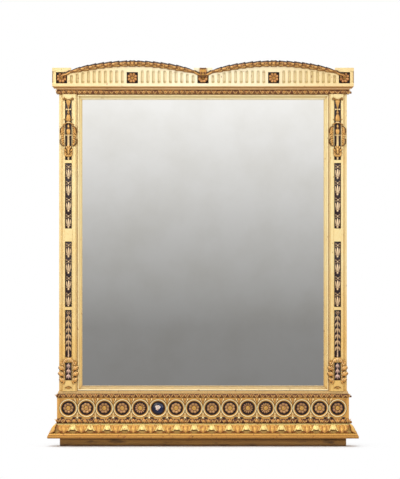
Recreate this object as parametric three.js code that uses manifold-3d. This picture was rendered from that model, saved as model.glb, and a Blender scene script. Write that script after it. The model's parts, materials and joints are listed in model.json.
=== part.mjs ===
// Overmantel mirror in carved giltwood, after the neoclassical taste: a fluted crest with two laurel arches,
// two panelled pilasters, one plate of glass, and a frieze of sixteen roundels over a leaf-carved base.
//
// Millimetres. X runs along the width, Z is up, and the mirror faces -Y. The origin is on the shelf it stands
// on, at the middle of its width and depth. Depths are given as distances out from the wall.

import * as THREE from 'three';
import { mergeVertices } from 'three/addons/utils/BufferGeometryUtils.js';
import Module from 'manifold-3d';

const wasm = await Module();
wasm.setup();

// ---- Driving dimensions ----------------------------------------------------------------------------------

const fit = 0.3;                 // air between two pieces that touch

// Glass and the moulding round its opening
const sightWidth = 1210;
const sightHeight = 1433;
const sightMouldWidth = 27;
const sightMouldDepth = 33;      // at its outer edge
const sightEdgeDepth = 13;       // at the glass
const glassThickness = 6;
const glassLap = 19;             // glass hidden behind the sight moulding
const backboardThickness = 13.4;
const backboardCount = 3;

// Carcass
const stileWidth = 88;
const carcassThickness = 46;
const topRailHeight = 90;
const battenThickness = 22;
const battenHeight = 90;
const battenInset = 20;          // short of the carcass's edge
const lowBattenRise = 105;       // from the bottom rail to the lowest batten's underside
const highBattenDrop = 65;       // from the top rail down to the highest batten's top edge
const buildUp = 3.7;             // datum of all applied mouldings, in front of the carcass

// Plinth, base and frieze, from the shelf upwards
const plinthHeight = 40;
const plinthInset = 4;
const plinthDepth = 80;
const baseHeight = 73;
const baseReach = 58;            // out from the datum
const baseLipHeight = 14;
const baseNeckReach = 14;
const ropeHeight = 24;
const ropeReach = 16;
const ropeFootReach = 9;
const friezeHeight = 105;
const friezeReach = 10;
const sillHeight = 7;
const sillReach = 5;

// Roundels
const roundelCount = 16;
const roundelPitch = 89.75;
const roundelRingRadius = 44.3;
const roundelRingWidth = 9.8;
const roundelRingRise = 4;
const roundelRecess = 8;
const roundelRosetteRadius = 27;
const roundelRosetteRise = 10;
const daisies = [5, 11, 12];     // rosettes with many narrow petals
const lostRosette = 6;           // only its blue glass ground is left

// Pilasters
const pilasterEdge = 17;         // stile left bare outside the pilaster
const pilasterThickness = 11.7;
const panelWidth = 36;
const panelShift = 5.5;          // of the panels, out from the pilaster's middle
const panelRecess = 6;
const capitalDrop = 30;          // bare pilaster above the capital's panel
const capitalPanelHeight = 300;
const smallGap = 15;
const middleGap = 65;
const huskPanelHeight = 237;
const footGap = 25;
const footPanelHeight = 90;
const footRise = 55;             // bare pilaster below the foot panel
const arabesquePitch = 81;
const huskCount = 6;
const scrollRadius = 5;

// Crest
const crestRopeHeight = 21;
const coveHeight = 16;
const coveReach = 30;
const coveFootReach = 12;
const crestHeight = 93;          // to the tops of its square blocks
const crestReach = 33;
const blockWidth = 94;
const archDrop = 20.5;           // springing of an arch below the tops of the blocks
const archRise = 41;
const squareWidth = 56;
const squareRecess = 12;
const squareRise = 15;           // bare board below a square
const crestRosetteRadius = 26;
const crestRosetteRise = 11;
const flutesPerBay = 10;         // between two neighbouring squares
const fluteWidth = 15;
const flutePitch = 28.2;
const fluteHeadroom = 17;        // from a flute's head to the arch above it
const garlandRadius = 15.5;      // at the middle of an arch
const garlandLeafPitch = 36;

// Hangers on the back
const hangerDrop = 200;          // eye below the top rail
const strapWidth = 16;
const strapLength = 60;
const strapThickness = 2;
const ringWire = 5;
const ringHalfWidth = 18;
const ringDrop = 32;
const eyeClearance = 0.5;
const screwShank = 4;
const screwHead = 8;
const screwLength = 25;
const screwDrops = [43, 55];     // below the eye

// ---- Sizes that follow -----------------------------------------------------------------------------------

const bodyHalf = sightWidth / 2 + sightMouldWidth + stileWidth;
const stileInner = bodyHalf - stileWidth;
const carcassBack = battenThickness + fit;
const carcassFront = carcassBack + carcassThickness;
const datum = carcassFront + buildUp;
const overallDepth = datum + baseReach;
const halfLap = carcassBack + carcassThickness / 2;

const baseZ = plinthHeight + fit;
const lowerRopeZ = plinthHeight + baseHeight;
const friezeZ = lowerRopeZ + ropeHeight;
const upperRopeZ = friezeZ + friezeHeight;
const sillZ = upperRopeZ + ropeHeight;
const openingZ = sillZ + sillHeight;
const openingTopZ = openingZ + 2 * sightMouldWidth + sightHeight;
const coveZ = openingTopZ + crestRopeHeight;
const crestZ = coveZ + coveHeight;
const blockTopZ = crestZ + crestHeight;
const crestHalf = bodyHalf + crestReach;
const crestFront = datum + crestReach;
const bayCentre = (crestHalf - blockWidth / 2) / 2;
const bayHalf = bayCentre - blockWidth / 2;
const archRadius = (bayHalf ** 2 + archRise ** 2) / (2 * archRise);
const archSpringZ = blockTopZ - archDrop;
const archCentreZ = archSpringZ + archRise - archRadius;
const squareZ = crestZ + squareRise + squareWidth / 2;

const backboardBack = carcassBack + fit;
const glassBack = backboardBack + backboardThickness + fit;
const glassFront = glassBack + glassThickness;
const sightBack = glassFront + fit;

const pilasterX = (stileInner + bodyHalf - pilasterEdge) / 2 + panelShift;
const pilasterInner = stileInner + fit;
const pilasterOuter = bodyHalf - pilasterEdge;
const pilasterBack = carcassFront + fit;
const pilasterFront = pilasterBack + pilasterThickness;
const panelFloor = pilasterFront - panelRecess;
const pilasterFootZ = openingZ + fit;
const pilasterTopZ = openingTopZ - fit;

// ---- Materials -------------------------------------------------------------------------------------------

const finish = (color, roughness, metalness) =>
  new THREE.MeshStandardMaterial({ color, roughness, metalness, flatShading: true });
const gilt = finish('#e9cc83', 0.38, 0.55);
const paleGilt = finish('#f3e2a8', 0.4, 0.45);
const darkGilt = finish('#a67a4c', 0.5, 0.4);
const painted = finish('#7d5c3d', 0.6, 0);
const pine = finish('#b08d62', 0.75, 0);
const mirrorPlate = finish('#c4c4c2', 0.05, 1);
const steel = finish('#8d8b86', 0.4, 0.9);
const blueGlass = finish('#1f2c6b', 0.2, 0);

// ---- Solid helpers ---------------------------------------------------------------------------------------

// Signed volume of an indexed mesh, positive when its faces point out.
function signedVolume(position, index) {
  const corners = [new THREE.Vector3(), new THREE.Vector3(), new THREE.Vector3()];
  let volume = 0;
  for (let i = 0; i < index.length; i += 3) {
    corners.forEach((corner, k) => corner.fromBufferAttribute(position, index[i + k]));
    volume += corners[0].dot(corners[1].cross(corners[2])) / 6;
  }
  return volume;
}

// The same shape with shared corners, without collapsed triangles, and with its faces pointing out.
function closed(geometry) {
  const bare = geometry.clone();
  bare.deleteAttribute('normal');
  bare.deleteAttribute('uv');
  const merged = mergeVertices(bare, 1e-4);
  const source = merged.index.array;
  const index = [];
  for (let i = 0; i < source.length; i += 3) {
    const [a, b, c] = [source[i], source[i + 1], source[i + 2]];
    if (a !== b && b !== c && c !== a) {
      index.push(a, b, c);
    }
  }
  if (signedVolume(merged.attributes.position, index) < 0) {
    index.reverse();
  }
  merged.setIndex(index);
  return merged;
}

function solid(geometry) {
  const shape = closed(geometry);
  return new wasm.Manifold(new wasm.Mesh({
    numProp: 3,
    vertProperties: new Float32Array(shape.attributes.position.array),
    triVerts: new Uint32Array(shape.index.array),
  }));
}

function fromSolid(manifold) {
  const mesh = manifold.getMesh();
  const geometry = new THREE.BufferGeometry();
  geometry.setAttribute('position', new THREE.Float32BufferAttribute(mesh.vertProperties, 3));
  geometry.setIndex(Array.from(mesh.triVerts));
  return geometry;
}

const join = (...geometries) =>
  fromSolid(geometries.map(solid).reduce((whole, piece) => whole.add(piece)));
const cut = (blank, ...tools) =>
  fromSolid(tools.map(solid).reduce((rest, tool) => rest.subtract(tool), solid(blank)));

// A box between two distances from the wall.
function block(x0, x1, out0, out1, z0, z1) {
  const geometry = new THREE.BoxGeometry(x1 - x0, out1 - out0, z1 - z0);
  return geometry.translate((x0 + x1) / 2, -(out0 + out1) / 2, (z0 + z1) / 2);
}

// A shape drawn in X and Z, as thick as the space between two distances from the wall.
function facing(shape, out0, out1, curveSegments = 12) {
  const geometry = new THREE.ExtrudeGeometry(shape, {
    depth: out1 - out0, bevelEnabled: false, curveSegments,
  });
  return geometry.rotateX(Math.PI / 2).translate(0, -out0, 0);
}

// A solid turned about Z from a profile of [radius, height], flattened towards the wall by squash.
function turned(profile, sides, squash = 1) {
  const points = profile.map(([radius, height]) => new THREE.Vector2(radius, height));
  return closed(new THREE.LatheGeometry(points, sides).rotateX(Math.PI / 2).scale(1, squash, 1));
}

// Skins a row of rings of equal count. The ends are capped by the triangles of the section, unless looped.
function skin(rings, section, looped = false) {
  const count = rings[0].length;
  const positions = rings.flat().flatMap((point) => [point.x, point.y, point.z]);
  const index = [];
  const spans = looped ? rings.length : rings.length - 1;
  for (let r = 0; r < spans; r += 1) {
    const here = r * count;
    const next = ((r + 1) % rings.length) * count;
    for (let k = 0; k < count; k += 1) {
      const after = (k + 1) % count;
      index.push(here + k, next + k, next + after, here + k, next + after, here + after);
    }
  }
  if (!looped) {
    const last = (rings.length - 1) * count;
    for (const [a, b, c] of THREE.ShapeUtils.triangulateShape(section, [])) {
      index.push(a, b, c, last + a, last + c, last + b);
    }
  }
  const geometry = new THREE.BufferGeometry();
  geometry.setAttribute('position', new THREE.Float32BufferAttribute(positions, 3));
  geometry.setIndex(index);
  return closed(geometry);
}

const roundSection = (sides, radius = 1) => Array.from({ length: sides }, (_, k) => {
  const angle = (2 * Math.PI * k) / sides;
  return new THREE.Vector2(radius * Math.cos(angle), radius * Math.sin(angle));
});

// A rod of round section along a smooth line through [x, distance from the wall, z] points.
function rod(points, radius, steps, sides = 6) {
  const path = new THREE.CatmullRomCurve3(points.map(([x, out, z]) => new THREE.Vector3(x, -out, z)));
  return new THREE.ExtrudeGeometry(new THREE.Shape(roundSection(sides, radius)), {
    extrudePath: path, steps, bevelEnabled: false,
  });
}

// ---- Mouldings that wrap the front and both sides ----------------------------------------------------------

const BACK = 'laid against the carcass';

// A moulding mitred at the two front corners. Its profile is a list of [reach from the datum, height].
function wrap(profile) {
  const reachAt = (reach) => (reach === BACK
    ? { half: bodyHalf + fit, front: carcassFront + fit }
    : { half: bodyHalf + reach, front: datum + reach });
  const ring = (side, atFront) => profile.map(([reach, height]) => {
    const { half, front } = reachAt(reach);
    return new THREE.Vector3(side * half, -(atFront ? front : carcassBack), height);
  });
  const section = profile.map(([reach, height]) => new THREE.Vector2(reachAt(reach).half, height));
  return skin([ring(-1, false), ring(-1, true), ring(1, true), ring(1, false)], section);
}

// Points of a quarter wave between two [reach, height] points; bend 1 is hollow below, -1 is round below.
function ogee([reach0, height0], [reach1, height1], steps) {
  return Array.from({ length: steps + 1 }, (_, k) => {
    const t = k / steps;
    const sway = Math.sin(2 * Math.PI * t) * 0.12;
    return [reach0 + (reach1 - reach0) * (t + sway), height0 + (height1 - height0) * t];
  });
}

// Half-round stretch of a profile, standing out from foot to reach and back over its height.
function bulge(foot, reach, height, steps) {
  return Array.from({ length: steps + 1 }, (_, k) => {
    const angle = (Math.PI * k) / steps;
    return [foot + (reach - foot) * Math.sin(angle), (height * (1 - Math.cos(angle))) / 2];
  });
}

const ropeProfile = (height) => [[BACK, 0], ...bulge(ropeFootReach, ropeReach, height, 6), [BACK, height]];

function baseMoulding() {
  const top = baseHeight - 2 * fit;
  const shoulder = baseReach - 8;
  return wrap([
    [BACK, 0], [baseReach - 2, 0], [baseReach, 3], [baseReach, baseLipHeight - 3],
    [baseReach - 3, baseLipHeight], [shoulder, baseLipHeight + 8],
    ...ogee([shoulder - 3, baseLipHeight + 14], [baseNeckReach, top], 6),
    [BACK, top],
  ]);
}

function upperRope() {
  const rope = bulge(ropeFootReach, ropeReach, ropeHeight, 6);
  const top = ropeHeight + sillHeight;
  return wrap([[BACK, 0], ...rope, [sillReach, ropeHeight + 1], [sillReach, top], [BACK, top]]);
}

function cornice() {
  const top = coveHeight - fit;
  const cove = Array.from({ length: 5 }, (_, k) => {
    const angle = (Math.PI / 2) * (k / 4);
    return [
      coveFootReach + (coveReach - coveFootReach) * (1 - Math.cos(angle)),
      2 + (top - 5) * Math.sin(angle),
    ];
  });
  return wrap([[BACK, 0], [coveFootReach, 0], ...cove, [coveReach, top], [BACK, top]]);
}

// ---- Frieze ------------------------------------------------------------------------------------------------

const roundelX = (number) => (number - (roundelCount + 1) / 2) * roundelPitch;
const friezeFront = datum + friezeReach;
const roundelZ = friezeHeight / 2;

// A round tool or boss with its axis towards the viewer, from a profile of [radius, distance from the wall].
function roundFacing(profile, x, z, sides) {
  const points = profile.map(([radius, out]) => new THREE.Vector2(radius, -out));
  return closed(new THREE.LatheGeometry(points, sides).translate(x, 0, z));
}

const roundelSides = 16;

function friezeBoard() {
  const height = friezeHeight - fit;
  const numbers = Array.from({ length: roundelCount }, (_, k) => k + 1);
  const recessRadius = roundelRingRadius - roundelRingWidth;
  const floor = friezeFront - roundelRecess;
  const face = friezeFront + roundelRingRise;
  const rings = numbers.map((number) => roundFacing(
    [[0, friezeFront - 1], [roundelRingRadius, friezeFront - 1], [roundelRingRadius - 2.5, face],
      [recessRadius + 2.5, face], [0, face]],
    roundelX(number), roundelZ, roundelSides));
  const recesses = numbers.map((number) => roundFacing(
    [[0, floor], [recessRadius - 2, floor], [recessRadius + 2.5, face + 1], [0, face + 1]],
    roundelX(number), roundelZ, roundelSides));
  const board = wrap([[BACK, 0], [friezeReach, 0], [friezeReach, height], [BACK, height]]);
  return cut(join(board, ...rings), ...recesses);
}

// A petalled flower seen from the front, with a domed eye. Its back lies in the XZ plane.
function rosette(radius, rise, petals) {
  const profile = [[0, 0], [radius, 0], [radius, rise * 0.35], [radius * 0.42, rise * 0.6],
    [radius * 0.3, rise * 0.95], [0, rise]];
  const points = profile.map(([reach, out]) => new THREE.Vector2(reach, -out));
  const geometry = closed(new THREE.LatheGeometry(points, 2 * petals));
  const position = geometry.attributes.position;
  for (let i = 0; i < position.count; i += 1) {
    const reach = Math.hypot(position.getX(i), position.getZ(i));
    const step = Math.round((Math.atan2(position.getX(i), position.getZ(i)) * petals) / Math.PI);
    if (reach > radius * 0.5 && step % 2 !== 0) {
      position.setX(i, position.getX(i) * 0.8);
      position.setZ(i, position.getZ(i) * 0.8);
    }
  }
  return geometry;
}

const glassBoss = () => roundFacing(
  [[0, 0], [roundelRosetteRadius, 0], [roundelRosetteRadius, 2], [roundelRosetteRadius * 0.6, 5], [0, 6]],
  0, 0, roundelSides);

// ---- Pilasters ---------------------------------------------------------------------------------------------

const pilasterHeight = openingTopZ - openingZ;
const arabesqueHeight = (pilasterHeight - capitalDrop - capitalPanelHeight - 2 * smallGap - middleGap
  - huskPanelHeight - footGap - footPanelHeight - footRise) / 2;
const capitalPanelZ = openingTopZ - capitalDrop - capitalPanelHeight;
const upperArabesqueZ = capitalPanelZ - smallGap - arabesqueHeight;
const lowerArabesqueZ = upperArabesqueZ - middleGap - arabesqueHeight;
const huskPanelZ = lowerArabesqueZ - smallGap - huskPanelHeight;
const footPanelZ = huskPanelZ - footGap - footPanelHeight;

const panel = (z, height, narrow = 0) => block(
  -panelWidth / 2 + narrow, panelWidth / 2 - narrow, panelFloor + narrow, pilasterFront + 1,
  z + narrow, z + height - narrow);

// Low relief on a panel's floor, its axis a little below the floor: a tulip over a bead.
const reliefOut = panelFloor - 0.7;
const tulip = [[0, 4], [4, 10], [11, 46], [12, 52], [4, 60], [6, 67], [0, 75]];

function arabesque(z) {
  const count = Math.max(1, Math.round(arabesqueHeight / arabesquePitch));
  const pitch = arabesqueHeight / count;
  return Array.from({ length: count }, (_, k) =>
    turned(tulip, 6, 0.42).translate(0, -reliefOut, z + k * pitch));
}

// Bellflower husks hung in a row, each wider than the one above it.
function husks(z, height, count) {
  const pitch = (height - 8) / count;
  return Array.from({ length: count }, (_, k) => {
    const radius = 6 + (8 * (count - 1 - k)) / count;
    const profile = [[0, 3], [radius, 0], [radius * 0.8, pitch * 0.45], [0, pitch - 1]];
    return turned(profile, 6, 0.42).translate(0, -reliefOut, z + 4 + k * pitch);
  });
}

function pilasterBoard() {
  const board = block(pilasterInner - pilasterX, pilasterOuter - pilasterX, pilasterBack, pilasterFront,
    pilasterFootZ, pilasterTopZ);
  const sunk = cut(board,
    panel(capitalPanelZ, capitalPanelHeight),
    panel(upperArabesqueZ, arabesqueHeight),
    panel(lowerArabesqueZ, arabesqueHeight),
    panel(huskPanelZ, huskPanelHeight),
    panel(footPanelZ, footPanelHeight));
  const carved = join(sunk, ...arabesque(upperArabesqueZ), ...arabesque(lowerArabesqueZ),
    ...husks(huskPanelZ, huskPanelHeight, huskCount));
  return cut(carved, block(-panelWidth, panelWidth, 0, pilasterBack, openingZ, openingTopZ));
}

// The space an applied carving has to leave to the pilaster below it and to the panel's walls.
function pilasterKeepOut(z, height) {
  const slab = block(-100, 100, 0, pilasterFront + fit, openingZ - 10, openingTopZ + 10);
  return cut(slab, panel(z, height, fit));
}

// Points of an applied carving, given as shares of its panel's width and height.
const drawn = (points, height, side = 1) =>
  points.map(([across, up]) => [side * across * panelWidth, up * height]);
const laid = (points, height, out, side = 1) =>
  drawn(points, height, side).map(([x, z]) => [x, out, z]);

const candelabrum = [[0, 0.007], [0.306, 0.017], [0.389, 0.073], [0.167, 0.093], [0.139, 0.127],
  [0.389, 0.153], [0.472, 0.2], [0.139, 0.233], [0.125, 0.393], [0.167, 0.427], [0.222, 0.5],
  [0.139, 0.557], [0.25, 0.633], [0.389, 0.7], [0.278, 0.76], [0.111, 0.78], [0.194, 0.8], [0.111, 0.823],
  [0.306, 0.843], [0.111, 0.867], [0.333, 0.973], [0, 0.977]];
const capitalScroll = [[0, 0.62], [0.389, 0.607], [0.694, 0.56], [1.056, 0.5], [0.833, 0.407],
  [1.056, 0.32], [0.889, 0.253], [0.611, 0.273]];
const capitalVolutes = [[-0.611, 1.02], [-0.389, 1.043], [-0.167, 0.993], [0.167, 0.993], [0.389, 1.043],
  [0.611, 1.02]];

// Candelabrum on the capital's panel, from its cup up to its volutes, between two scrolls.
function capitalCarving() {
  const high = capitalPanelHeight;
  const shaft = turned(drawn(candelabrum, high), 6, 0.6).translate(0, -pilasterFront, 0);
  const out = pilasterFront + scrollRadius - 1;
  const crosspiece = rod(laid(capitalVolutes, high, out), panelWidth / 8, 10, 5);
  const neck = rod(laid([[0, 0.953], [0, 1.007]], high, out - 2), 5, 1);
  const scroll = (side) => rod(laid(capitalScroll, high, out, side), scrollRadius, 13, 5);
  const carving = join(shaft, neck, crosspiece, scroll(-1), scroll(1)).translate(0, 0, capitalPanelZ);
  return cut(carving, pilasterKeepOut(capitalPanelZ, capitalPanelHeight));
}

const footScroll = [[0.667, -0.178], [1.056, -0.044], [0.861, 0.2], [1.306, 0.422], [0.972, 0.6],
  [1.361, 0.778], [0.889, 0.933], [0.611, 1.111]];
const footShell = [[0, -0.267], [0.222, -0.244], [0.472, -0.1], [0.5, 0], [0, 0.067]];

function footCarving() {
  const high = footPanelHeight;
  const out = pilasterFront + scrollRadius;
  const crown = [0, out, 1.256 * high];
  const halves = [laid(footScroll, high, out), laid(footScroll, high, out, -1).reverse()];
  const arch = rod([...halves[0], crown, ...halves[1]], scrollRadius + 1, 32, 5);
  const bar = rod(laid([[-0.778, -0.167], [0.778, -0.167]], high, out), scrollRadius, 1);
  const shell = turned(drawn(footShell, high), 10, 0.5).translate(0, -out, -0.222 * high);
  const stem = rod([[0, out, -0.156 * high], [0, out - 2, 0.222 * high], [0, out - 2, 0.667 * high],
    [0, out, 1.244 * high]], 5, 6);
  const carving = join(arch, bar, shell, stem).translate(0, 0, footPanelZ);
  return cut(carving, pilasterKeepOut(footPanelZ, footPanelHeight));
}

// ---- Sight moulding and carcass ----------------------------------------------------------------------------

// One mitred length, lying along X with its outer edge at Z = 0 and the glass on its +Z side.
function sightLength(outerLength) {
  const mitreGap = fit * 0.75;
  const section = [[fit, 0], [sightMouldWidth, 0], [sightMouldWidth, sightEdgeDepth],
    [sightMouldWidth * 0.8, sightEdgeDepth + 3], [sightMouldWidth * 0.45, sightMouldDepth - 6],
    [sightMouldWidth * 0.22, sightMouldDepth], [fit, sightMouldDepth]];
  const ring = (side) => section.map(([inward, rise]) =>
    new THREE.Vector3(side * (outerLength / 2 - inward - mitreGap), -(sightBack + rise), inward));
  return skin([ring(-1), ring(1)], section.map(([inward, rise]) => new THREE.Vector2(inward, rise)));
}

// A carcass stile, halved at both ends where the rails lap over it.
function stile(side) {
  const top = openingTopZ + topRailHeight;
  const outline = new THREE.Shape([[carcassBack, baseZ], [halfLap, baseZ], [halfLap, openingZ + fit],
    [carcassFront, openingZ + fit], [carcassFront, openingTopZ - fit], [halfLap, openingTopZ - fit],
    [halfLap, top], [carcassBack, top]].map(([out, z]) => new THREE.Vector2(-out, z)));
  const bar = new THREE.ExtrudeGeometry(outline, { depth: stileWidth, bevelEnabled: false });
  bar.applyMatrix4(new THREE.Matrix4().makeBasis(
    new THREE.Vector3(0, 1, 0), new THREE.Vector3(0, 0, 1), new THREE.Vector3(1, 0, 0)));
  bar.translate(side > 0 ? stileInner : -bodyHalf, 0, 0);
  const holes = screwDrops.map((drop) => screw(fit).translate(
    side * hangerX, -carcassBack, hangerZ - drop));
  return cut(bar, ...holes);
}

// A rail whose ends lap over the front halves of both stiles.
function rail(height) {
  const plan = new THREE.Shape([[-bodyHalf, carcassFront], [-bodyHalf, halfLap + fit],
    [-stileInner + fit, halfLap + fit], [-stileInner + fit, carcassBack], [stileInner - fit, carcassBack],
    [stileInner - fit, halfLap + fit], [bodyHalf, halfLap + fit], [bodyHalf, carcassFront],
  ].map(([x, out]) => new THREE.Vector2(x, -out)));
  return new THREE.ExtrudeGeometry(plan, { depth: height, bevelEnabled: false });
}

// ---- Crest -------------------------------------------------------------------------------------------------

// Outline of the crest board: square blocks at the ends and the middle, and an arch over each bay.
function crestOutline(grow = 0) {
  const shape = new THREE.Shape();
  const half = crestHalf + grow;
  const radius = archRadius + grow;
  const reach = bayHalf - grow;
  const meetZ = archCentreZ + Math.sqrt(radius ** 2 - reach ** 2);
  const sweep = Math.asin(reach / radius);
  const blockZ = blockTopZ + grow;
  shape.moveTo(-half, crestZ);
  shape.lineTo(half, crestZ);
  shape.lineTo(half, blockZ);
  for (const side of [1, -1]) {
    shape.lineTo(side * bayCentre + reach, blockZ);
    shape.lineTo(side * bayCentre + reach, meetZ);
    shape.absarc(side * bayCentre, archCentreZ, radius, Math.PI / 2 - sweep, Math.PI / 2 + sweep, false);
    shape.lineTo(side * bayCentre - reach, blockZ);
  }
  shape.lineTo(-half, blockZ);
  return shape;
}

const crestBack = carcassFront + fit;
const squareXs = [-2, -1, 0, 1, 2].map((step) => step * bayCentre);
const square = (x, narrow = 0) => block(
  x - squareWidth / 2 + narrow, x + squareWidth / 2 - narrow,
  crestFront - squareRecess + narrow, crestFront + 5,
  squareZ - squareWidth / 2 + narrow, squareZ + squareWidth / 2 - narrow);

// One flute, with a round head and foot; its head keeps below the arch over it.
function flute(x) {
  const radius = fluteWidth / 2;
  const fromBay = Math.abs(x) - bayCentre;
  const archZ = archCentreZ + Math.sqrt(archRadius ** 2 - fromBay ** 2);
  const footZ = squareZ - squareWidth / 2;
  const headZ = Math.min(squareZ + squareWidth / 2 + 7, archZ - fluteHeadroom);
  const groove = new THREE.CapsuleGeometry(radius, headZ - footZ - fluteWidth, 2, 8);
  groove.rotateX(Math.PI / 2).rotateZ(Math.PI / 8);
  return groove.scale(1, 0.8, 1).translate(x, -crestFront, (footZ + headZ) / 2);
}

function crestBoard() {
  const front = facing(crestOutline(), crestBack, crestFront, 14);
  const returns = [-1, 1].map((side) => {
    const [near, far] = [bodyHalf + fit, crestHalf];
    const [x0, x1] = side > 0 ? [near, far] : [-far, -near];
    return block(x0, x1, carcassBack, crestFront - 5, crestZ, blockTopZ);
  });
  const flutes = [];
  for (let bay = 0; bay < squareXs.length - 1; bay += 1) {
    const middle = (squareXs[bay] + squareXs[bay + 1]) / 2;
    for (let k = 0; k < flutesPerBay; k += 1) {
      flutes.push(flute(middle + (k - (flutesPerBay - 1) / 2) * flutePitch));
    }
  }
  return cut(join(front, ...returns), ...squareXs.map((x) => square(x)), ...flutes);
}

// A laurel rope along an arch, thickest in the middle, its leaves lapping towards the middle. It is laid over
// the board's top edge, and its ends hang in front of the blocks.
function garland() {
  const sides = 6;
  const span = bayHalf + 22;
  const leaves = Math.round((2 * span) / garlandLeafPitch);
  const stations = [];
  for (let k = 0; k <= leaves; k += 1) {
    const at = -1 + (2 * k) / leaves;
    const nudge = 0.012;
    const small = 0.84;
    const large = 1.16;
    stations.push([at - nudge, at < 0 ? large : small], [at + nudge, at < 0 ? small : large]);
  }
  const section = roundSection(sides);
  const rings = stations.map(([at, swell]) => {
    const angle = (at * span) / archRadius;
    const radius = garlandRadius * (0.42 + 0.58 * Math.cos((Math.PI / 2) * Math.min(1, at * at)));
    const centreOut = crestFront - 6 + 7 * at ** 4;
    return section.map(({ x: across, y: outward }) => {
      const reach = archRadius + across * radius * swell;
      return new THREE.Vector3(reach * Math.sin(angle), -(centreOut + outward * radius * swell * 0.85),
        archCentreZ + reach * Math.cos(angle));
    });
  });
  return skin(rings, section);
}

const crestKeepOut = (side) =>
  facing(crestOutline(fit), crestBack - 20, crestFront + fit, 28).translate(-side * bayCentre, 0, 0);

// The middle rosette carries a small bud that stands up over the block's face.
function buddedRosette() {
  const flower = rosette(crestRosetteRadius, crestRosetteRise, 8)
    .translate(0, -(crestFront - squareRecess + fit), squareZ);
  const foot = squareZ;
  const height = blockTopZ - foot;
  const bud = turned([[0, 0], [8, 3], [12, height * 0.4], [8, height * 0.6], [14, height * 0.9],
    [13, height], [0, height]], 8, 0.45).translate(0, -(crestFront + 1), foot);
  const board = cut(facing(crestOutline(fit), crestBack, crestFront + fit, 12), square(0, fit));
  return cut(join(flower, bud), board);
}

// ---- Hangers -----------------------------------------------------------------------------------------------

const hangerX = bodyHalf - stileWidth / 2;
const hangerZ = openingTopZ - hangerDrop;
const eyeRadius = ringWire / 2 + eyeClearance + strapThickness;
const eyeOut = fit + eyeRadius;

// Wood screw with a countersunk head, along Y: its head lies flush with the strap.
function screw(grow = 0) {
  const shank = screwShank / 2 + grow;
  const strapFace = fit + strapThickness;
  const profile = [[0, -screwLength - grow], [shank, -screwLength + 4], [shank, fit],
    [screwHead / 2 + grow, strapFace], [0, strapFace]];
  return new THREE.LatheGeometry(profile.map(([radius, along]) => new THREE.Vector2(radius, along)), 8);
}

// Steel strap with a rolled eye at its top, drawn in Y and Z and extruded along X.
function strap() {
  const outline = new THREE.Shape();
  const meet = Math.acos((strapThickness - eyeRadius) / eyeRadius);
  outline.moveTo(fit, -strapLength);
  outline.lineTo(fit + strapThickness, -strapLength);
  outline.absarc(eyeOut, 0, eyeRadius, -meet, Math.PI, false);
  const bore = new THREE.Path();
  bore.absarc(eyeOut, 0, ringWire / 2 + eyeClearance, 0, 2 * Math.PI, true);
  outline.holes.push(bore);
  const plate = new THREE.ExtrudeGeometry(outline, {
    depth: strapWidth, bevelEnabled: false, curveSegments: 9,
  });
  plate.applyMatrix4(new THREE.Matrix4().makeBasis(
    new THREE.Vector3(0, 1, 0), new THREE.Vector3(0, 0, 1), new THREE.Vector3(1, 0, 0)));
  plate.translate(-strapWidth / 2, 0, 0);
  return cut(plate, ...screwDrops.map((drop) => screw(fit).translate(0, 0, -drop)));
}

// D-shaped ring hanging from its straight bar, which lies on the X axis.
function hangerRing() {
  const corner = 4;
  const bowTop = 2 * corner;
  const line = [[corner - ringHalfWidth, 0], [ringHalfWidth - corner, 0], [ringHalfWidth, -corner]];
  const bowSteps = 10;
  for (let k = 0; k <= bowSteps; k += 1) {
    const angle = (Math.PI * k) / bowSteps;
    line.push([ringHalfWidth * Math.cos(angle), -bowTop - (ringDrop - bowTop) * Math.sin(angle)]);
  }
  line.push([-ringHalfWidth, -corner]);
  const section = roundSection(8, ringWire / 2);
  const rings = line.map(([x, z], k) => {
    const [beforeX, beforeZ] = line.at(k - 1);
    const [afterX, afterZ] = line[(k + 1) % line.length];
    const length = Math.hypot(afterX - beforeX, afterZ - beforeZ);
    const normal = [-(afterZ - beforeZ) / length, (afterX - beforeX) / length];
    return section.map(({ x: across, y: outward }) =>
      new THREE.Vector3(x + normal[0] * across, outward, z + normal[1] * across));
  });
  return skin(rings, section, true);
}

// ---- Assembly ----------------------------------------------------------------------------------------------

const mirror = new THREE.Group();
mirror.position.y = overallDepth / 2;

function group(x = 0, out = 0, z = 0) {
  const set = new THREE.Group();
  set.position.set(x, -out, z);
  mirror.add(set);
  return set;
}

function place(parent, name, geometry, material, position = [0, 0, 0]) {
  const mesh = new THREE.Mesh(closed(geometry), material);
  mesh.name = name;
  mesh.geometry.computeVertexNormals();
  mesh.position.set(...position);
  parent.add(mesh);
  return mesh;
}

function addCarcass() {
  const carcass = group();
  place(carcass, 'plinth', block(-bodyHalf + plinthInset, bodyHalf - plinthInset, 0, plinthDepth, 0,
    plinthHeight), painted);
  place(carcass, 'bottom_rail', rail(openingZ - baseZ), pine, [0, 0, baseZ]);
  place(carcass, 'top_rail', rail(topRailHeight), pine, [0, 0, openingTopZ]);
  place(carcass, 'stile_left', stile(-1), gilt);
  place(carcass, 'stile_right', stile(1), gilt);
}

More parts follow.
